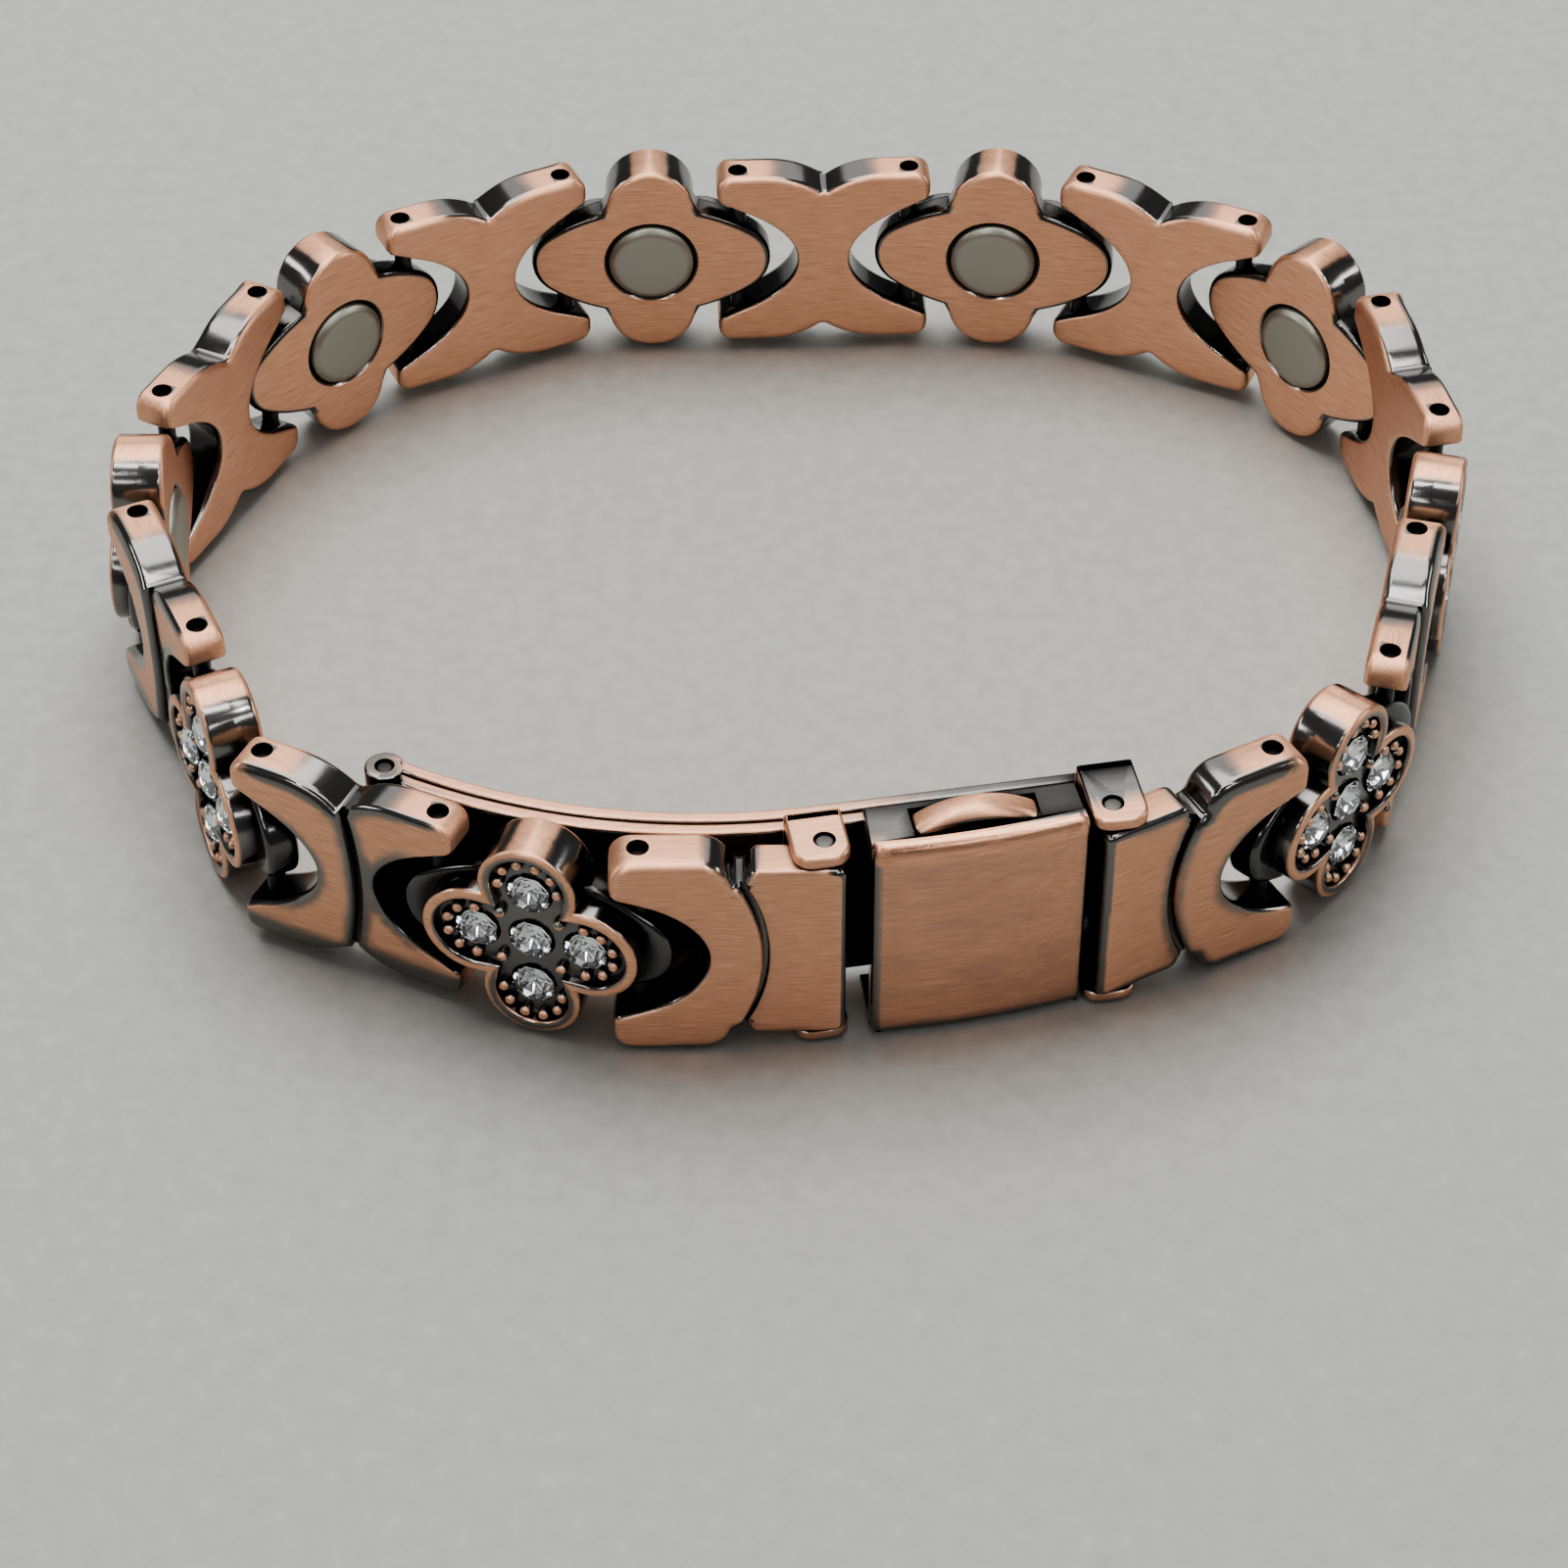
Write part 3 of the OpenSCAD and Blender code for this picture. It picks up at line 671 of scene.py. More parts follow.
def flower_tone(p, n):
    facing = 0.0 if abs(p.y - SEAM) < 0.02 else abs(n.y)
    lobe_wall = LOBE_TONE * ramp(0.6, 1.3, abs(p.x))
    on_lobe = abs(p.z) > LOBE_FROM
    if p.y > TONGUE_FACE + 0.02:
        to_lobe = min(hypot(abs(p.x) - SIDE_X, p.z), hypot(p.x, abs(p.z) - LOBE_Z))
        in_middle = hypot(p.x, p.z) < 2.0
        inside = BED_TONE if in_middle else BED_TONE * ramp(2.28, 1.98, to_lobe)
        if p.y > BED_FACE + 0.1 and (in_middle or to_lobe < 1.85):
            return 0.8 - 0.62 * ramp(BED_FACE + 0.1, BED_FACE + 0.35, p.y)
        return max(inside, (lobe_wall if on_lobe else BED_TONE) * ramp(0.2, 0.8, 1 - facing))
    if p.y < FLOWER_BACK + 0.02:
        return CLEAN_TONE
    if on_lobe and abs(p.x) < SIDE_R:
        return lobe_wall * ramp(0.4, 0.8, 1 - facing)
    return TONGUE_TONE


flower_mesh = finish_mesh(flower_solids(), "flower_link", [COPPER], flower_tone, grid=0.6)
for k in range(1, 10):
    place_piece("flower_link_%d_piece" % k, flower_mesh, link_frame(2 * k - 1))
print("flower link faces:", len(flower_mesh.polygons))

# %% [markdown]
# ## Stones
# Each stone is a round cut with an eight-sided table, a crown of 32 small facets and a faceted
# point. Nothing is smoothed here, because facets are flat. The five stones of a link are set at
# different turns, as a setter drops them in, so they don't all flash at once.

# %% Stones
STONE_SEED = 7
SIDES = 8
GIRDLE = BED_FACE + 0.14
# One row a ring of corners, from table to point: share of the radius, height in mm, turn in degrees
STONE_RINGS = [
    (0.58, 0.36, 0),
    (0.86, 0.21, 22.5),
    (1, 0.04, 0),
    (1, -0.04, 0),
    (0.62, -0.34, 22.5),
    (0.1, -0.6, 0),
]


def stone(x, z, turn):
    points = []
    for radius, up, lean in STONE_RINGS:
        for side in range(SIDES):
            a = radians(360 / SIDES * side + lean + turn)
            r = STONE_R * radius
            points.append((x + r * cos(a), -(GIRDLE + up), z + r * sin(a)))
    last = SIDES * (len(STONE_RINGS) - 1)
    faces = [tuple(range(SIDES)), tuple(last + i for i in reversed(range(SIDES)))]
    for ring in range(len(STONE_RINGS) - 1):
        leans = STONE_RINGS[ring + 1][2] - STONE_RINGS[ring][2]
        for side in range(SIDES):
            a, b = ring * SIDES + side, ring * SIDES + (side + 1) % SIDES
            c, d = a + SIDES, b + SIDES
            if leans > 0:
                faces += [(a, b, c), (b, d, c)]
            elif leans < 0:
                faces += [(a, b, d), (a, d, c)]
            else:
                faces.append((a, b, d, c))
    return points, faces


def glass_or_foil(face):
    return int(-face.center.y / MM < GIRDLE - 0.05)


def stones_mesh(k):
    chance = random.Random(STONE_SEED + k)
    solids = [stone(x, z, chance.uniform(0, 45)) for x, z in STONES]
    mesh = finish_mesh(solids, "stones", [CRYSTAL, FOIL], material_of=glass_or_foil)
    mesh.shade_flat()
    return mesh


for k in range(1, 10):
    place_piece("stones_%d_piece" % k, stones_mesh(k), link_frame(2 * k - 1))
print("stones set:", 9 * len(STONES))

# %% [markdown]
# ## Magnets
# A magnet is a pressed disc in a round seat on the wrist side. A profile of a few rings gives its
# bevel and its slightly domed face, which shades softly.

# %% Magnets
MAGNET_R = 2.3
MAGNET_PROFILE = [(-0.1, 0), (-0.88, 0), (-0.92, 0.03), (-1.09, 0.26),
                  (-1.13, 0.34), (-1.15, 0.5), (-1.165, 1.0), (-1.17, 1.6)]

magnet = outwards(circle(0, 0, MAGNET_R, 40), MAGNET_PROFILE)
magnet_mesh = finish_mesh([magnet], "magnet", [NICKEL])
for k in range(1, 10):
    place_piece("magnet_%d_piece" % k, magnet_mesh, link_frame(2 * k - 1))
print("magnet faces:", len(magnet_mesh.polygons))

# %% [markdown]
# ## Cross links
# A cross link has a bay at each side for the flowers' tongues, and four arms that hold the pins.
# Small notches above and below split it in two: a raised crescent and a plain half, with a groove
# between them. One quarter of the outline gives them all.

# %% Arms, bays and notches
NOTCH_HALF = 4.45
NOTCH_R = 0.4
BAY_APEX = 1.45
BAY_HALF = 3.7
BAY_TIP_R = 0.5
BAY_STEPS = 12


def shoulder(run, low, high):
    """From a flat edge down a round shoulder into the notch's small hollow, right to left."""
    turn = degrees(2 * atan((high - low) / run))
    shoulder_r = run / sin(radians(turn)) - NOTCH_R
    return (arc(run, high - shoulder_r, shoulder_r, 90, 90 + turn, 8)
            + arc(0, low + NOTCH_R, NOTCH_R, turn - 90, -90, 4))


def bay_edge(reach, fullness):
    edge = []
    for i in range(BAY_STEPS):
        s = (i / BAY_STEPS) ** 2
        edge.append((BAY_APEX + (reach - BAY_APEX) * s, BAY_HALF * sqrt(s * (2 - s) ** fullness)))
    return edge


def arm_quarter(reach, fullness, half_h, run, corner):
    return (bay_edge(reach, fullness)[:-1]
            + arc(reach - BAY_TIP_R, BAY_HALF + BAY_TIP_R, BAY_TIP_R, -75, 0, 3)
            + arc(reach - corner, half_h - corner, corner, 0, 90, 6)
            + shoulder(run, NOTCH_HALF, half_h))


CROSS_REACH = CROSS_PITCH / 2 + 1.15
CROSS_QUARTER = arm_quarter(CROSS_REACH, fullness=0.35, half_h=5.4, run=3.0, corner=0.8)
print("cross link reach %.2f mm" % CROSS_REACH)

# %% [markdown]
# The two halves stand on one body at different heights, and the groove is the gap between them. The
# outer edges are well rounded and the edges in the bays are tight. The crescent's upper edge is the
# widest, a brow that polishing has worn to a bright band.

# %% The two halves
LINK_BACK = -1.05
PLAIN_FACE = 1.05
CRESCENT_FACE = 1.4
GROOVE_FLOOR = PLAIN_FACE - 0.28
GROOVE_W = 0.18
GROOVE_LINE = 0.15
CROSS_BULGE = 0.55
TIGHT = 0.5


def crescent_radius(bulge):
    return (NOTCH_HALF ** 2 + bulge ** 2) / (2 * bulge)


def crescent_arc(bulge, grow, steps=24):
    """The crescent's curved edge from the upper notch to the lower one, drawn out by grow."""
    r = crescent_radius(bulge)
    half_turn = degrees(asin(NOTCH_HALF / (r + grow)))
    return arc(r - bulge, 0, r + grow, 180 - half_turn, 180 + half_turn, steps)


def to_groove(bulge, x, z):
    """Distance from the groove."""
    r = crescent_radius(bulge)
    return abs(hypot(x - r + bulge, z) - r - GROOVE_LINE)


def edge_shares(bulge, bays, outer, brow=0.0):
    """How far each edge is rounded. brow widens the upper edge from the notch to the right arm."""
    def share(x, z):
        if to_groove(bulge, x, z) < 0.3 and abs(z) < NOTCH_HALF - 0.05:
            return TIGHT
        wide = brow * ramp(4.2, 4.9, z) * ramp(5.4, 4.2, x) * ramp(-0.3, 0.9, x)
        if any(side * x > BAY_APEX - 0.2 for side in bays):
            return TIGHT + (outer - TIGHT) * ramp(BAY_HALF, BAY_HALF + 0.6, abs(z)) + wide
        return outer + wide
    return share


def two_level_link(right, left, bulge, holes, bays, brow):
    """A link whose right part is the raised crescent. right and left are upper quarters."""
    body = outwards(dense(whole(right, left)), rounded(LINK_BACK, GROOVE_FLOOR, 0.4, 0),
                    edge_shares(bulge, bays, 1.05))
    crescent = dense(tidy(flip_z(right) + right + crescent_arc(bulge, 0)[1:-1]))
    plain_edge = crescent_arc(bulge, GROOVE_W)
    upper = [p for p in flip_x(left) if p[0] < plain_edge[0][0] - 0.05 or p[1] < 1.0]
    plain = dense(tidy(upper + flip_z(upper) + list(reversed(plain_edge))))
    return [cut(body, holes),
            outwards(crescent, rounded(GROOVE_FLOOR, CRESCENT_FACE, 0, 0.45, 5),
                     edge_shares(bulge, bays, 1.0, brow)),
            outwards(plain, rounded(GROOVE_FLOOR, PLAIN_FACE, 0, 0.27, 5), edge_shares(bulge, bays, 1.5))]


cross_holes = [bore(side * CROSS_PITCH / 2, 0) for side in (-1, 1)]
cross_solids = two_level_link(CROSS_QUARTER, CROSS_QUARTER, CROSS_BULGE, cross_holes, (-1, 1), brow=1.4)
print("cross link solids:", len(cross_solids))

# %% [markdown]
# The tone follows the way the link was polished on a wheel: flat faces and outer corners clean,
# hollows black. Walls that face into a bay are black, the flat tops fade from copper at the pin's
# hole to gunmetal at the notch, and the faces are grey along their edges. The mirrored links of the
# loop's left side are dark on their lower arms too.

# %% Link tone
BAY_TONE = 1.3
WALL_TONE = 0.9
GROOVE_TONE = 0.55
AROUND_SEAM = (0.5, 0.85)
BEVEL_REACH = 1.3
BEVEL_FACING = (0.1, 0.98)
UPPER_ARM_END, LOWER_ARM_END = 5.9, 5.4


def edge_distance(outline, x, z):
    """Distance from a point to a closed outline."""
    here = Vector((x, z))
    nearest = 99.0
    for i, corner in enumerate(outline):
        start = Vector(outline[i - 1])
        along = Vector(corner) - start
        t = min(max((here - start).dot(along) / along.length_squared, 0.0), 1.0)
        nearest = min(nearest, (here - start - t * along).length)
    return nearest


def link_tone(outline, bulge, bays, side, border, dark_right=4.0, dark_left=4.0, bevel=0.85, low_arms=0.0):
    """Tone of a link. side is -1 where it is mirrored, border is the tone of its faces' edges, bevel
    that of the rounded edges beside the notch and low_arms that of the lower arms. The walls are dark
    from the notch out to dark_right and dark_left."""
    def tone(p, n):
        x = side * p.x
        edge = edge_distance(outline, x, p.z)
        facing = abs(n.y)
        if AROUND_SEAM[0] < p.y < AROUND_SEAM[1] and facing > 0.5:
            if edge > 0.05:
                return GROOVE_TONE
            facing = 0.0
        in_bay = abs(p.z) < BAY_HALF + 0.2 and any(s * x > BAY_APEX - 0.4 for s in bays)
        reach = dark_right if x > 0 else dark_left
        wall = BAY_TONE if in_bay else WALL_TONE * ramp(reach, 0.4 * reach, abs(x))
        face = CLEAN_TONE
        if n.y > 0:
            face = border * (1 - ramp(0.2, 1.0, min(edge, to_groove(bulge, x, p.z))))
            face *= 1 - 0.75 * ramp(2.6, 4.4, abs(x))
            face = max(face, low_arms * ramp(-3.4, -4.8, p.z))
            if edge < BEVEL_REACH and BEVEL_FACING[0] < facing < BEVEL_FACING[1]:
                arm_end = UPPER_ARM_END if p.z > 0 else LOWER_ARM_END
                face = max(face, bevel * ramp(arm_end, arm_end - 1.8, abs(x)))
                wall = max(wall, face)
        return face + (wall - face) * ramp(0.08, 0.75, 1 - facing)
    return tone


print("darkest tone:", BAY_TONE)

# %% [markdown]
# Two meshes serve all eight links, because the chain's left half carries them mirrored. The holes'
# walls get blackened steel.

# %% Cross links
LINK_GRID = 0.5
CROSS_OUTLINE = four_way(CROSS_QUARTER)
CROSS_BORES = bore_material([(-CROSS_PITCH / 2, 0), (CROSS_PITCH / 2, 0)])


def cross_tone(side, low_arms):
    return link_tone(CROSS_OUTLINE, CROSS_BULGE, (-1, 1), side, border=0.75, low_arms=low_arms)


cross_mesh = finish_mesh(cross_solids, "cross_link", LINK_METALS, cross_tone(1, 0.0), CROSS_BORES,
                         LINK_GRID)
mirrored_mesh = finish_mesh([mirrored(s) for s in cross_solids], "cross_link_mirrored", LINK_METALS,
                            cross_tone(-1, 0.9), CROSS_BORES, LINK_GRID)
for k in range(1, 9):
    mesh = cross_mesh if k <= 4 else mirrored_mesh
    place_piece("cross_link_%d_piece" % k, mesh, link_frame(2 * k))
print("cross link faces:", len(cross_mesh.polygons))

# %% [markdown]
# ## Pins
# Each pin is a piece of steel wire, pressed in a little below the edge. Only its cut and slightly
# rounded end shows inside the dark hole.

# %% Pins
PIN_R = 0.45
LINK_PIN_HALF = 4.9
END_PIN_HALF = 5.4


def pin(x, y, half_h, r=PIN_R):
    return upwards(circle(x, y, r, 20), rounded(-half_h, half_h, 0.12, 0.12, 3))


two_pins = [pin(side * CROSS_PITCH / 2, 0, LINK_PIN_HALF) for side in (-1, 1)]
link_pins_mesh = finish_mesh(two_pins, "link_pins", [DARK_STEEL])
end_pin_mesh = finish_mesh([pin(0, 0, END_PIN_HALF)], "end_pin", [DARK_STEEL])
for k in range(1, 9):
    place_piece("link_pins_%d_piece" % k, link_pins_mesh, link_frame(2 * k))
for side_name, spot in (("right", JOINTS[1]), ("left", JOINTS[-2])):
    place_piece("end_pin_%s_piece" % side_name, end_pin_mesh, frame_at(spot, 0))
print("pin faces:", len(link_pins_mesh.polygons))

# %% [markdown]
# ## End links
# An end link is a crescent with one bay, and a narrower plain plate that the clasp's ears hold by a
# pin. The right one is worn to a wide upper edge like the cross links, the left one isn't.

# %% End link outlines
END_NOTCH = 4.55
END_REACH = END_NOTCH + 1.35
END_HALF = 5.9
END_BULGE = 1.1
PLATE_HALF = 5.2
PLATE_REACH = 1.0
PLATE_CORNER_R = 0.5
PIN_INSET = 0.4
clasp_pin_x = END_NOTCH - sqrt(END_PITCH ** 2 - PIN_INSET ** 2)
end_turn = degrees(asin(PIN_INSET / END_PITCH))
plate_x = PLATE_REACH - clasp_pin_x
PLATE_QUARTER = ([(plate_x, 0)]
                 + arc(plate_x - PLATE_CORNER_R, PLATE_HALF - PLATE_CORNER_R, PLATE_CORNER_R, 0, 90, 4)
                 + shoulder(0.9, NOTCH_HALF, PLATE_HALF))
END_QUARTER = arm_quarter(END_REACH, fullness=0.7, half_h=END_HALF, run=1.85, corner=1.0)
print("end links turned by %.1f degrees" % end_turn)

# %% End links


def end_solids(brow):
    holes = [bore(END_NOTCH, 0), bore(clasp_pin_x, PIN_INSET)]
    solids = two_level_link(END_QUARTER, PLATE_QUARTER, END_BULGE, holes, (1,), brow)
    return [moved(s, -END_NOTCH) for s in solids]


def end_tone(side, border, dark_right, bevel):
    link = link_tone(whole(END_QUARTER, PLATE_QUARTER), END_BULGE, (1,), 1, border,
                     dark_right, dark_left=1.3, bevel=bevel)

    def tone(p, n):
        spot = Vector((side * p.x + END_NOTCH, p.y, p.z))
        if spot.x < clasp_pin_x - 0.3 and abs(n.y) < 0.95:
            return BED_TONE
        return link(spot, n)
    return tone


def end_bores(side):
    return bore_material([(0, 0), (side * (clasp_pin_x - END_NOTCH), -PIN_INSET)])


right_end_mesh = finish_mesh(end_solids(2.0), "end_link_right", LINK_METALS,
                             end_tone(1, border=0.6, dark_right=3.6, bevel=0.85), end_bores(1), LINK_GRID)
left_end_mesh = finish_mesh([mirrored(s) for s in end_solids(0.0)], "end_link_left", LINK_METALS,
                            end_tone(-1, border=0.2, dark_right=2.4, bevel=0.0), end_bores(-1), LINK_GRID)
right_frame = frame_at(JOINTS[1], HEADINGS[0] + end_turn)
left_frame = frame_at(JOINTS[-2], HEADINGS[-1] - end_turn)
place_piece("end_link_right_piece", right_end_mesh, right_frame)
place_piece("end_link_left_piece", left_end_mesh, left_frame)
print("end link faces:", len(right_end_mesh.polygons))

# %% [markdown]
# ## Clasp
# The fold-over clasp is made of bent sheet. Two blades lie on each other behind the cover: the base
# blade carries the right ears and the hinge's outer knuckles, the fold blade the left ears and the
# middle knuckle. They are straight at the cover and bend with the wrist towards the hinge, so their
# outlines are drawn in plan and raised along z.

# %% Blade outlines
GAP = 0.1
BLADE_BACK = 3.5
BLADE_R = 29.0
BLADE_T = 0.7
BLADE_HALF = 4.8
BEND_X = -6.5
FOLD_LIFT = BLADE_T + GAP
HINGE_X = -25.5
BLADE_START = HINGE_X + 0.6
FOLD_END = 4.2
clasp_middle = (JOINTS[0] + JOINTS[-1]) / 2
clasp_heading = degrees(atan2(JOINTS[0].y - JOINTS[-1].y, JOINTS[0].x - JOINTS[-1].x))
CLASP = frame_at(clasp_middle, clasp_heading)
RIGHT_X = dist(JOINTS[0], JOINTS[-1]) / 2


def blade_point(x, lift):
    if x > BEND_X:
        return (x, BLADE_BACK - lift)
    return (x, BLADE_BACK + BLADE_R - sqrt((BLADE_R + lift) ** 2 - (x - BEND_X) ** 2))


def blade_line(x0, x1, lift, steps=24):
    bent = [blade_point(x0 + (BEND_X - x0) * i / steps, lift) for i in range(steps + 1)]
    return bent + [blade_point(x1, lift)]


def blade_strip(x0, x1, lift):
    outline = blade_line(x0, x1, lift + BLADE_T) + list(reversed(blade_line(x0, x1, lift)))
    return upwards(tidy(outline), rounded(-BLADE_HALF, BLADE_HALF, 0.2, 0.2))


hinge = blade_point(HINGE_X, FOLD_LIFT - GAP / 2)
print("clasp pins %.2f mm apart, hinge at" % (2 * RIGHT_X), [round(v, 2) for v in hinge])

# %% [markdown]
# An ear is the top of a small wall that stands on its blade and is bent forward over the end link.
# The hinge is three knuckles on one pin, and each blade has room for the other's knuckle.

# %% Ears and knuckles
EAR_T = 0.6
EAR_Z = PLATE_HALF + GAP
EAR_TOP = EAR_Z + EAR_T
EAR_FRONT = 1.25
EAR_CORNER = 0.9
EAR_OUTER = 1.55
EAR_INNER = 1.1
WALL_T = 0.7
KNUCKLE_R = 0.95
KNUCKLE_HALF = 1.9
BLADE_PIN_BORE_R = 0.48
CURVE_TURN = radians(25)


def softened(points, r, steps=4):
    """Rounds the real corners of an outline, and leaves its curves alone."""
    soft = []
    for i, p in enumerate(points):
        here = Vector(p)
        back = Vector(points[i - 1]) - here
        ahead = Vector(points[(i + 1) % len(points)]) - here
        turn = pi - back.angle(ahead)
        if turn < CURVE_TURN:
            soft.append(p)
            continue
        reach = min(r * tan(turn / 2), 0.45 * back.length, 0.45 * ahead.length)
        a, b = here + back.normalized() * reach, here + ahead.normalized() * reach
        for step in range(steps + 1):
            t = step / steps
            soft.append(tuple(a * (1 - t) ** 2 + here * 2 * t * (1 - t) + b * t ** 2))
    return soft


def ears(pin_x, x0, x1, lift):
    foot = BLADE_BACK - lift
    plan = ([(x1, foot), (x0, foot)] + arc(x0 + EAR_CORNER, EAR_CORNER - EAR_FRONT, EAR_CORNER, 180, 270, 6)
            + arc(x1 - EAR_CORNER, EAR_CORNER - EAR_FRONT, EAR_CORNER, 270, 360, 6))
    plan = softened(plan, 0.25)
    wall = softened([(x0, foot - WALL_T), (x1, foot - WALL_T), (x1, foot), (x0, foot)], 0.15)
    hole = bore(pin_x, 0, 20)
    upper = cut(upwards(plan, rounded(EAR_Z, EAR_TOP, 0.1, 0.18)), [hole])
    lower = cut(upwards(plan, rounded(-EAR_TOP, -EAR_Z, 0.18, 0.1)), [hole])
    return [upper, lower, upwards(wall, rounded(-EAR_TOP, EAR_TOP, 0.18, 0.18))]


def knuckle(low, high):
    body = upwards(circle(*hinge, KNUCKLE_R, 32), rounded(low, high, 0.12, 0.12, 3))
    return cut(body, [bore(*hinge, 20, BLADE_PIN_BORE_R)])


print("ears from %.2f to %.2f mm above the middle" % (EAR_Z, EAR_TOP))

# %% [markdown]
# Sheet is blackened everywhere and polished only where a wheel reaches. The wrist side and the front
# of the ears are clean, the surfaces between the blades are black, and the upper edges go from
# copper to gunmetal behind the cover's right end.

# %% Blades
HIDDEN_TONE = 1.25
EDGE_TONE = 0.25


def clasp_tone(p, n):
    if abs(n.z) > 0.5:
        behind_cover = ramp(0.4, -1.2, p.y) * ramp(2.0, 5.0, p.x)
        return EDGE_TONE + 1.2 * behind_cover + 0.45 * ramp(-24.4, -25.0, p.x)
    if p.y > 0.3 or n.y < 0:
        return 0.1
    return HIDDEN_TONE


free_r = KNUCKLE_R + GAP
room_for_fold = rod(*hinge, free_r, -KNUCKLE_HALF - GAP, KNUCKLE_HALF + GAP)
room_for_base = [rod(*hinge, free_r, KNUCKLE_HALF, BORE_REACH),
                 rod(*hinge, free_r, -BORE_REACH, -KNUCKLE_HALF)]
base_solids = [cut(blade_strip(BLADE_START, RIGHT_X + EAR_OUTER, 0), [room_for_fold]),
               knuckle(KNUCKLE_HALF, BLADE_HALF), knuckle(-BLADE_HALF, -KNUCKLE_HALF)]
base_solids += ears(RIGHT_X, RIGHT_X - EAR_INNER, RIGHT_X + EAR_OUTER, BLADE_T)
fold_solids = [cut(blade_strip(BLADE_START, FOLD_END, FOLD_LIFT), room_for_base),
               knuckle(-KNUCKLE_HALF, KNUCKLE_HALF)]
fold_solids += ears(-RIGHT_X, -RIGHT_X - EAR_OUTER, EAR_INNER - RIGHT_X, FOLD_LIFT + BLADE_T)
base_mesh = finish_mesh(base_solids, "base_blade", [COPPER], clasp_tone)
fold_mesh = finish_mesh(fold_solids, "fold_blade", [COPPER], clasp_tone)
place_piece("base_blade_piece", base_mesh, CLASP)
place_piece("fold_blade_piece", fold_mesh, CLASP)
print("base blade faces:", len(base_mesh.polygons))

# %% [markdown]
# The clasp's three pins are riveted wire. The two in the ears show their bare ends, and the hinge's
# pin has gone dark.

# %% Clasp pins
clasp_pin_mesh = finish_mesh([pin(0, 0, EAR_TOP - GAP)], "clasp_pin", [STEEL])
for side_name, spot in (("right", JOINTS[0]), ("left", JOINTS[-1])):
    place_piece("clasp_pin_%s_piece" % side_name, clasp_pin_mesh, frame_at(spot, 0))
blade_pin_mesh = finish_mesh([pin(*hinge, BLADE_HALF - GAP, 0.4)], "blade_pin", [DARK_STEEL])
place_piece("blade_pin_piece", blade_pin_mesh, CLASP)
print("clasp pin faces:", len(clasp_pin_mesh.polygons))

# %% [markdown]
# The cover is the clasp's face: a bent plate, brushed along its length, with thick rounded edges.
# Flanges behind its upper and lower edge reach in to the fold blade, and the upper one has a slot
# for the push button. The plate's rim is rounded more towards its face than towards its back.

# %% Cover
COVER_X = 0.4
COVER_HALF_W = 5.05
COVER_T = 0.9
COVER_FACE = 1.5
COVER_R = 45.0
COVER_BEND_X = -1.5
COVER_HALF = 6.0
FLANGE_TOP = COVER_HALF - 0.3
FLANGE_T = 0.6
FLANGE_BACK = BLADE_BACK - FOLD_LIFT - BLADE_T - GAP
BUTTON_HALF = 2.85
BUTTON_BACK = -1.4
BUTTON_FRONT = 0.25
SLOT_GAP = 0.12


def cover_line(r, steps=20):
    xs = [COVER_X + COVER_HALF_W * (2 * i / steps - 1) for i in range(steps + 1)]
    return [(x, COVER_R - COVER_FACE - sqrt(r ** 2 - (x - COVER_BEND_X) ** 2)) for x in xs]


def cover_solids():
    plate = softened(cover_line(COVER_R) + list(reversed(cover_line(COVER_R - COVER_T))), 0.5)
    middle = cover_line(COVER_R - COVER_T / 2)
    flange = middle + [(middle[-1][0] - 0.1, FLANGE_BACK), (middle[0][0] + 0.1, FLANGE_BACK)]
    left, right = COVER_X - BUTTON_HALF - SLOT_GAP, COVER_X + BUTTON_HALF + SLOT_GAP
    front, back = -BUTTON_FRONT - SLOT_GAP, SLOT_GAP - BUTTON_BACK
    slot = upwards([(left, front), (right, front), (right, back), (left, back)],
                   [(FLANGE_TOP - FLANGE_T - 0.2, 0), (9, 0)])
    upper = cut(upwards(flange, rounded(FLANGE_TOP - FLANGE_T, FLANGE_TOP, 0.05, 0.14)), [slot])
    lower = upwards(flange, rounded(-FLANGE_TOP, -FLANGE_TOP + FLANGE_T, 0.14, 0.05))
    rings = [(z, 0.6 * inset) for z, inset in rounded(-COVER_HALF, COVER_HALF, 0.95, 0.95, 8)]
    half = len(rings) // 2
    rings[half:half] = [(z, 0) for z in (-5.0, -4.4, 4.4, 5.0)]
    return [upwards(plate, rings, lambda x, y: 1.0 if y < -0.85 else 0.3), upper, lower]


def cover_tone(p, n):
    """Greyer towards both ends and the lower edge, burnished bright along the upper edge."""
    if p.y < 0.55:
        return HIDDEN_TONE
    left = ramp(0.75, 0.05, p.x - COVER_X + COVER_HALF_W)
    right = ramp(0.45, 0.05, COVER_X + COVER_HALF_W - p.x)
    low = ramp(0.7, 0.1, p.z + COVER_HALF)
    # Greyer within a little of the left and right ends and the lower edge, and slightly grey over the face
    # below the upper edge
    grey_share = max(0.8 * left, 0.6 * right, 0.2 * low, 0.3 * ramp(5.7, 4.9, p.z))
    return grey_share + BURNISHED_TONE * ramp(4.95, 5.4, p.z)


cover_mesh = finish_mesh(cover_solids(), "cover", [COPPER], cover_tone)
place_piece("cover_piece", cover_mesh, CLASP)
print("cover faces:", len(cover_mesh.polygons))

# %% [markdown]
# The push button is a domed bar that stands out of the slot, on a wider foot that keeps it in. It is
# the one piece that moves, so it rides on the body of the CAD model's joint.

# %% Push button
BUTTON_TOP = COVER_HALF + 0.55
BUTTON_LOW = 3.0
FOOT_HALF = 3.5


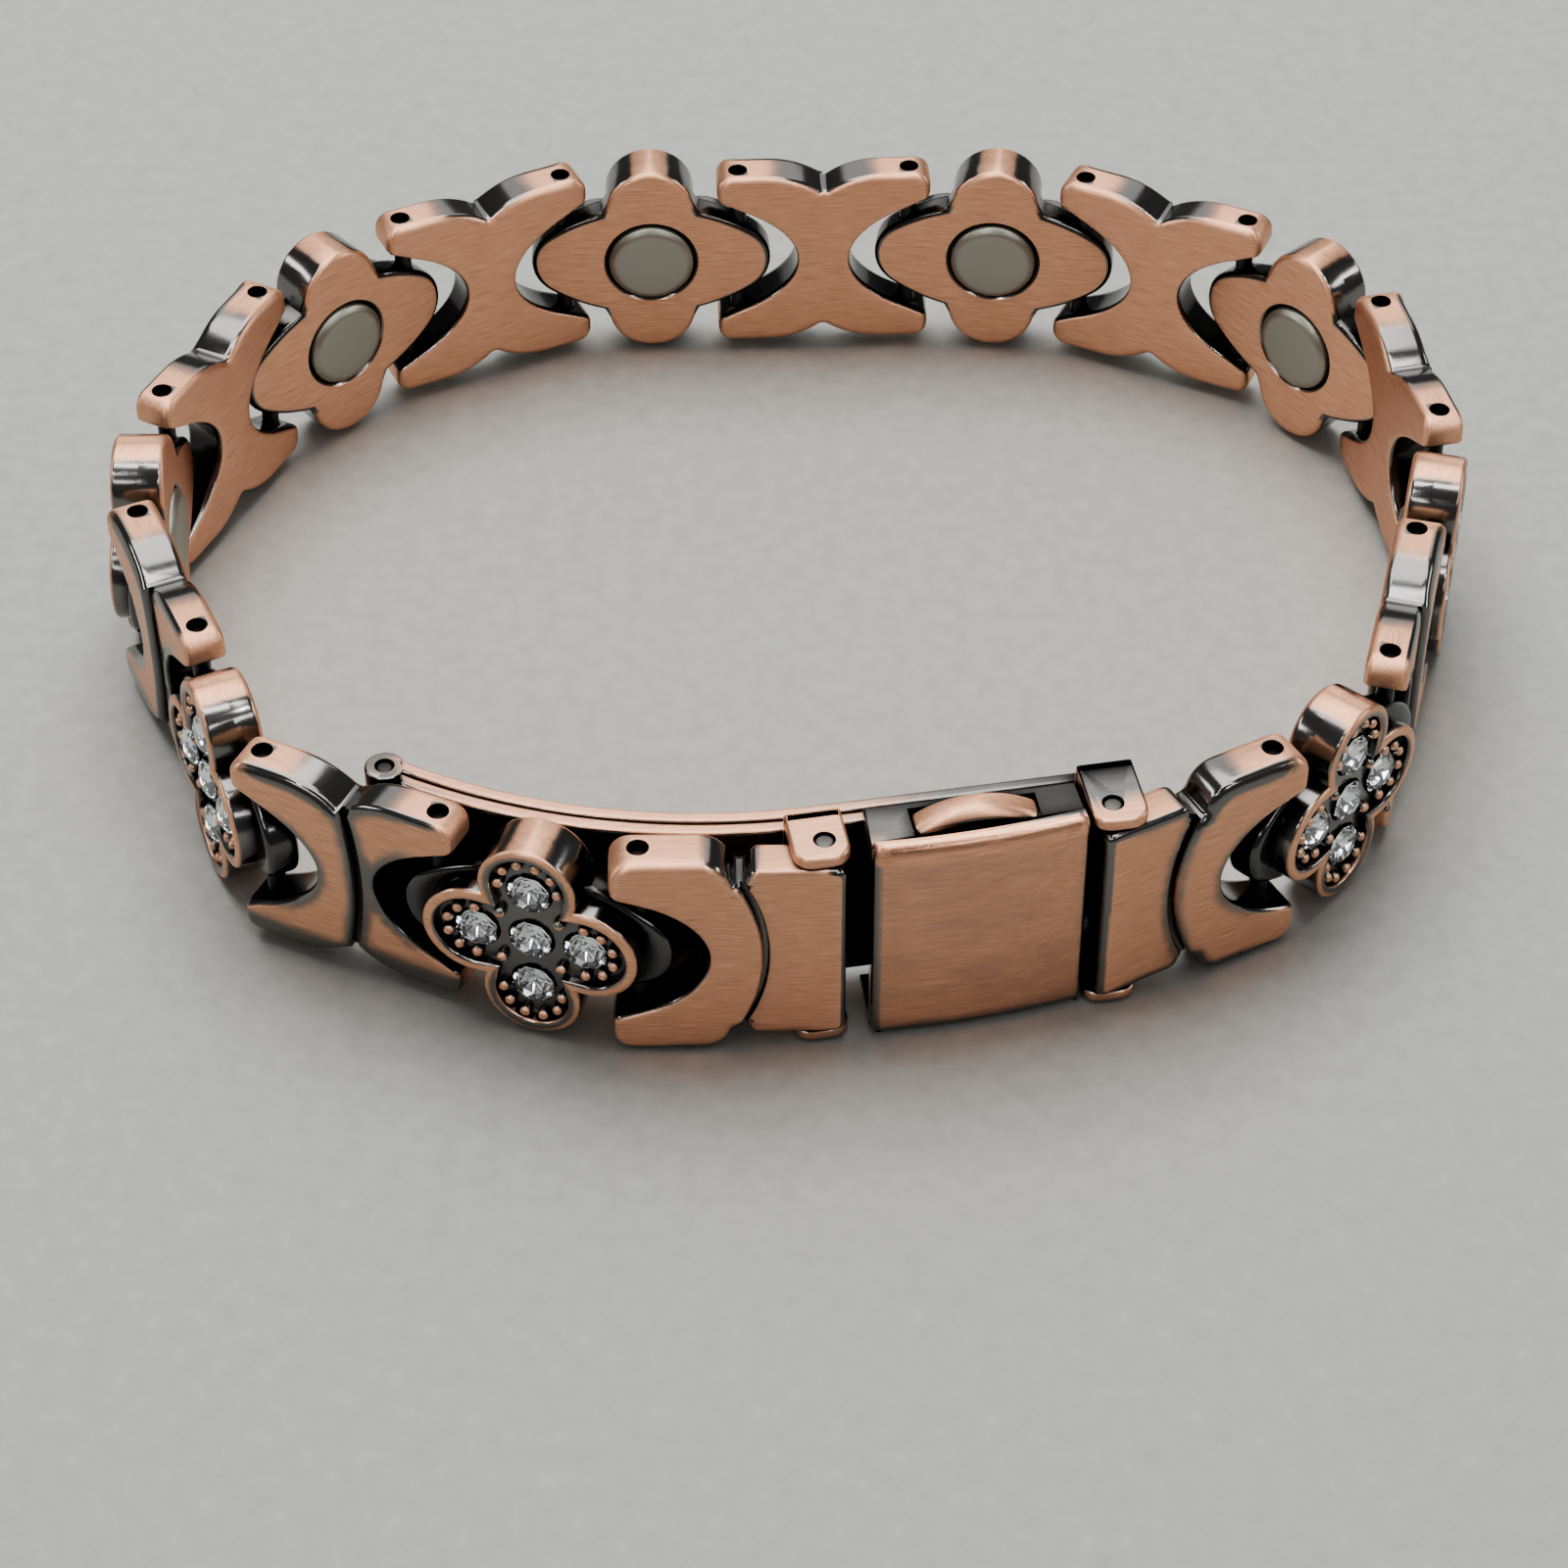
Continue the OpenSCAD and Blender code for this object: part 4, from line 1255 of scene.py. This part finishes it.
def button_solids():
    dome_r = (BUTTON_HALF ** 2 + (BUTTON_TOP - FLANGE_TOP) ** 2) / (2 * (BUTTON_TOP - FLANGE_TOP))
    dome_angle = degrees(asin(BUTTON_HALF / dome_r))
    dome = arc(COVER_X, BUTTON_TOP - dome_r, dome_r, 90 - dome_angle, 90 + dome_angle, 24)
    body = softened([(COVER_X - BUTTON_HALF, BUTTON_LOW), (COVER_X + BUTTON_HALF, BUTTON_LOW)] + dome, 0.3)
    left, right = COVER_X - FOOT_HALF, COVER_X + FOOT_HALF
    foot_z = FLANGE_TOP - FLANGE_T - SLOT_GAP
    foot = softened([(left, BUTTON_LOW), (right, BUTTON_LOW), (right, foot_z), (left, foot_z)], 0.1)
    return [outwards(body, rounded(BUTTON_BACK, BUTTON_FRONT, 0.6, 0.6, 6)),
            outwards(foot, rounded(BUTTON_BACK, -0.05, 0.1, 0.1, 2))]


button_mesh = finish_mesh(button_solids(), "push_button", [COPPER],
                          lambda p, n: 0.1 if n.z > 0.35 else 0.75)
place_piece("push_button_piece", button_mesh, CLASP, body="push_button")
print("button faces:", len(button_mesh.polygons))

# %% [markdown]
# ## Floor
# The bracelet stands on plain, matt, light grey board. It matters more than it seems: the links'
# faces look down at it, so it is what the copper mirrors.

# %% Floor
BOARD_DARK = "#b2b3ac"
BOARD_LIGHT = "#d4d5cf"
MOTTLES_PER_MM = 0.9
FLOOR_HALF_M = 1.5

board, tree = new_material("matt_grey_board")
mottle = noise(tree, add(tree, "TexCoord").outputs["Object"], MOTTLES_PER_MM / MM, 3.0)
finish_material(tree, {
    "Base Color": blend(tree, mottle, linear(BOARD_DARK), linear(BOARD_LIGHT)), "Roughness": 0.75,
    "Normal": bumped(tree, mottle, 0.3, 0.08 * MM)})
floor_mesh = bpy.data.meshes.new("floor")
corners = [(FLOOR_HALF_M * x, FLOOR_HALF_M * y, 0) for x, y in ((-1, -1), (1, -1), (1, 1), (-1, 1))]
floor_mesh.from_pydata(corners, [], [(0, 1, 2, 3)])
floor_mesh.materials.append(board)
floor = new_object("floor", floor_mesh)
print("floor of", 2 * FLOOR_HALF_M, "m")

# %% [markdown]
# ## Light
# The photograph has a large soft light from above and behind: a softbox and a panel, the only lamps
# that the floor sees. Polished edges need something narrow to mirror, so strips and two small lamps
# stand around for the metal. Two more panels are seen only through the glass of the stones, which
# makes them sparkle without changing the copper. The grey world is the rest of the room.

# %% Lights
# Name, place, width and height in metres, how bright it looks, what sees it besides the glass
LIGHTS = [
    ("softbox_above", (-0.05, 0.2, 0.56), 0.5, 0.4, 6.8, "floor metal"),
    ("panel_back", (0.0, 0.75, 0.6), 0.9, 0.5, 1.6, "floor metal"),
    ("strip_overhead", (0.0, -0.12, 0.6), 0.5, 0.1, 14.0, "metal"),
    ("strip_left", (-0.55, 0.0, 0.3), 0.35, 0.07, 14.0, "metal"),
    ("strip_right", (0.55, 0.05, 0.3), 0.35, 0.07, 14.0, "metal"),
    ("strip_front_left", (-0.35, -0.55, 0.5), 0.4, 0.04, 18.0, "metal"),
    ("strip_front_right", (0.4, -0.5, 0.5), 0.4, 0.04, 18.0, "metal"),
    ("lamp_left", (-0.22, -0.3, 0.5), 0.04, 0.04, 110.0, "metal"),
    ("lamp_right", (0.26, -0.22, 0.5), 0.04, 0.04, 110.0, "metal"),
    ("stones_left", (-0.28, -0.45, 0.45), 0.34, 0.26, 14.0, ""),
    ("stones_right", (0.3, -0.5, 0.28), 0.3, 0.24, 14.0, ""),
]
ROOM_GREY = "#d9dbdc"
ROOM_STRENGTH = 0.17


def area_light(name, place, width, height, brightness, seen_by):
    """A rectangular light that looks at the bracelet. Its power follows from how bright it looks."""
    data = bpy.data.lights.new(name, "AREA")
    data.shape = "RECTANGLE"
    data.size = width
    data.size_y = height
    data.energy = brightness * pi * width * height
    light = new_object(name, data)
    light.visible_diffuse = "floor" in seen_by
    light.visible_glossy = "metal" in seen_by
    light.location = place
    light.rotation_euler = (-Vector(place)).to_track_quat("-Z", "Y").to_euler()


for row in LIGHTS:
    area_light(*row)
world = bpy.data.worlds.new("room")
world.use_nodes = True
room = world.node_tree.nodes["Background"].inputs
room[0].default_value = linear(ROOM_GREY)
room[1].default_value = ROOM_STRENGTH
bpy.context.scene.world = world
print("lights:", len(LIGHTS))
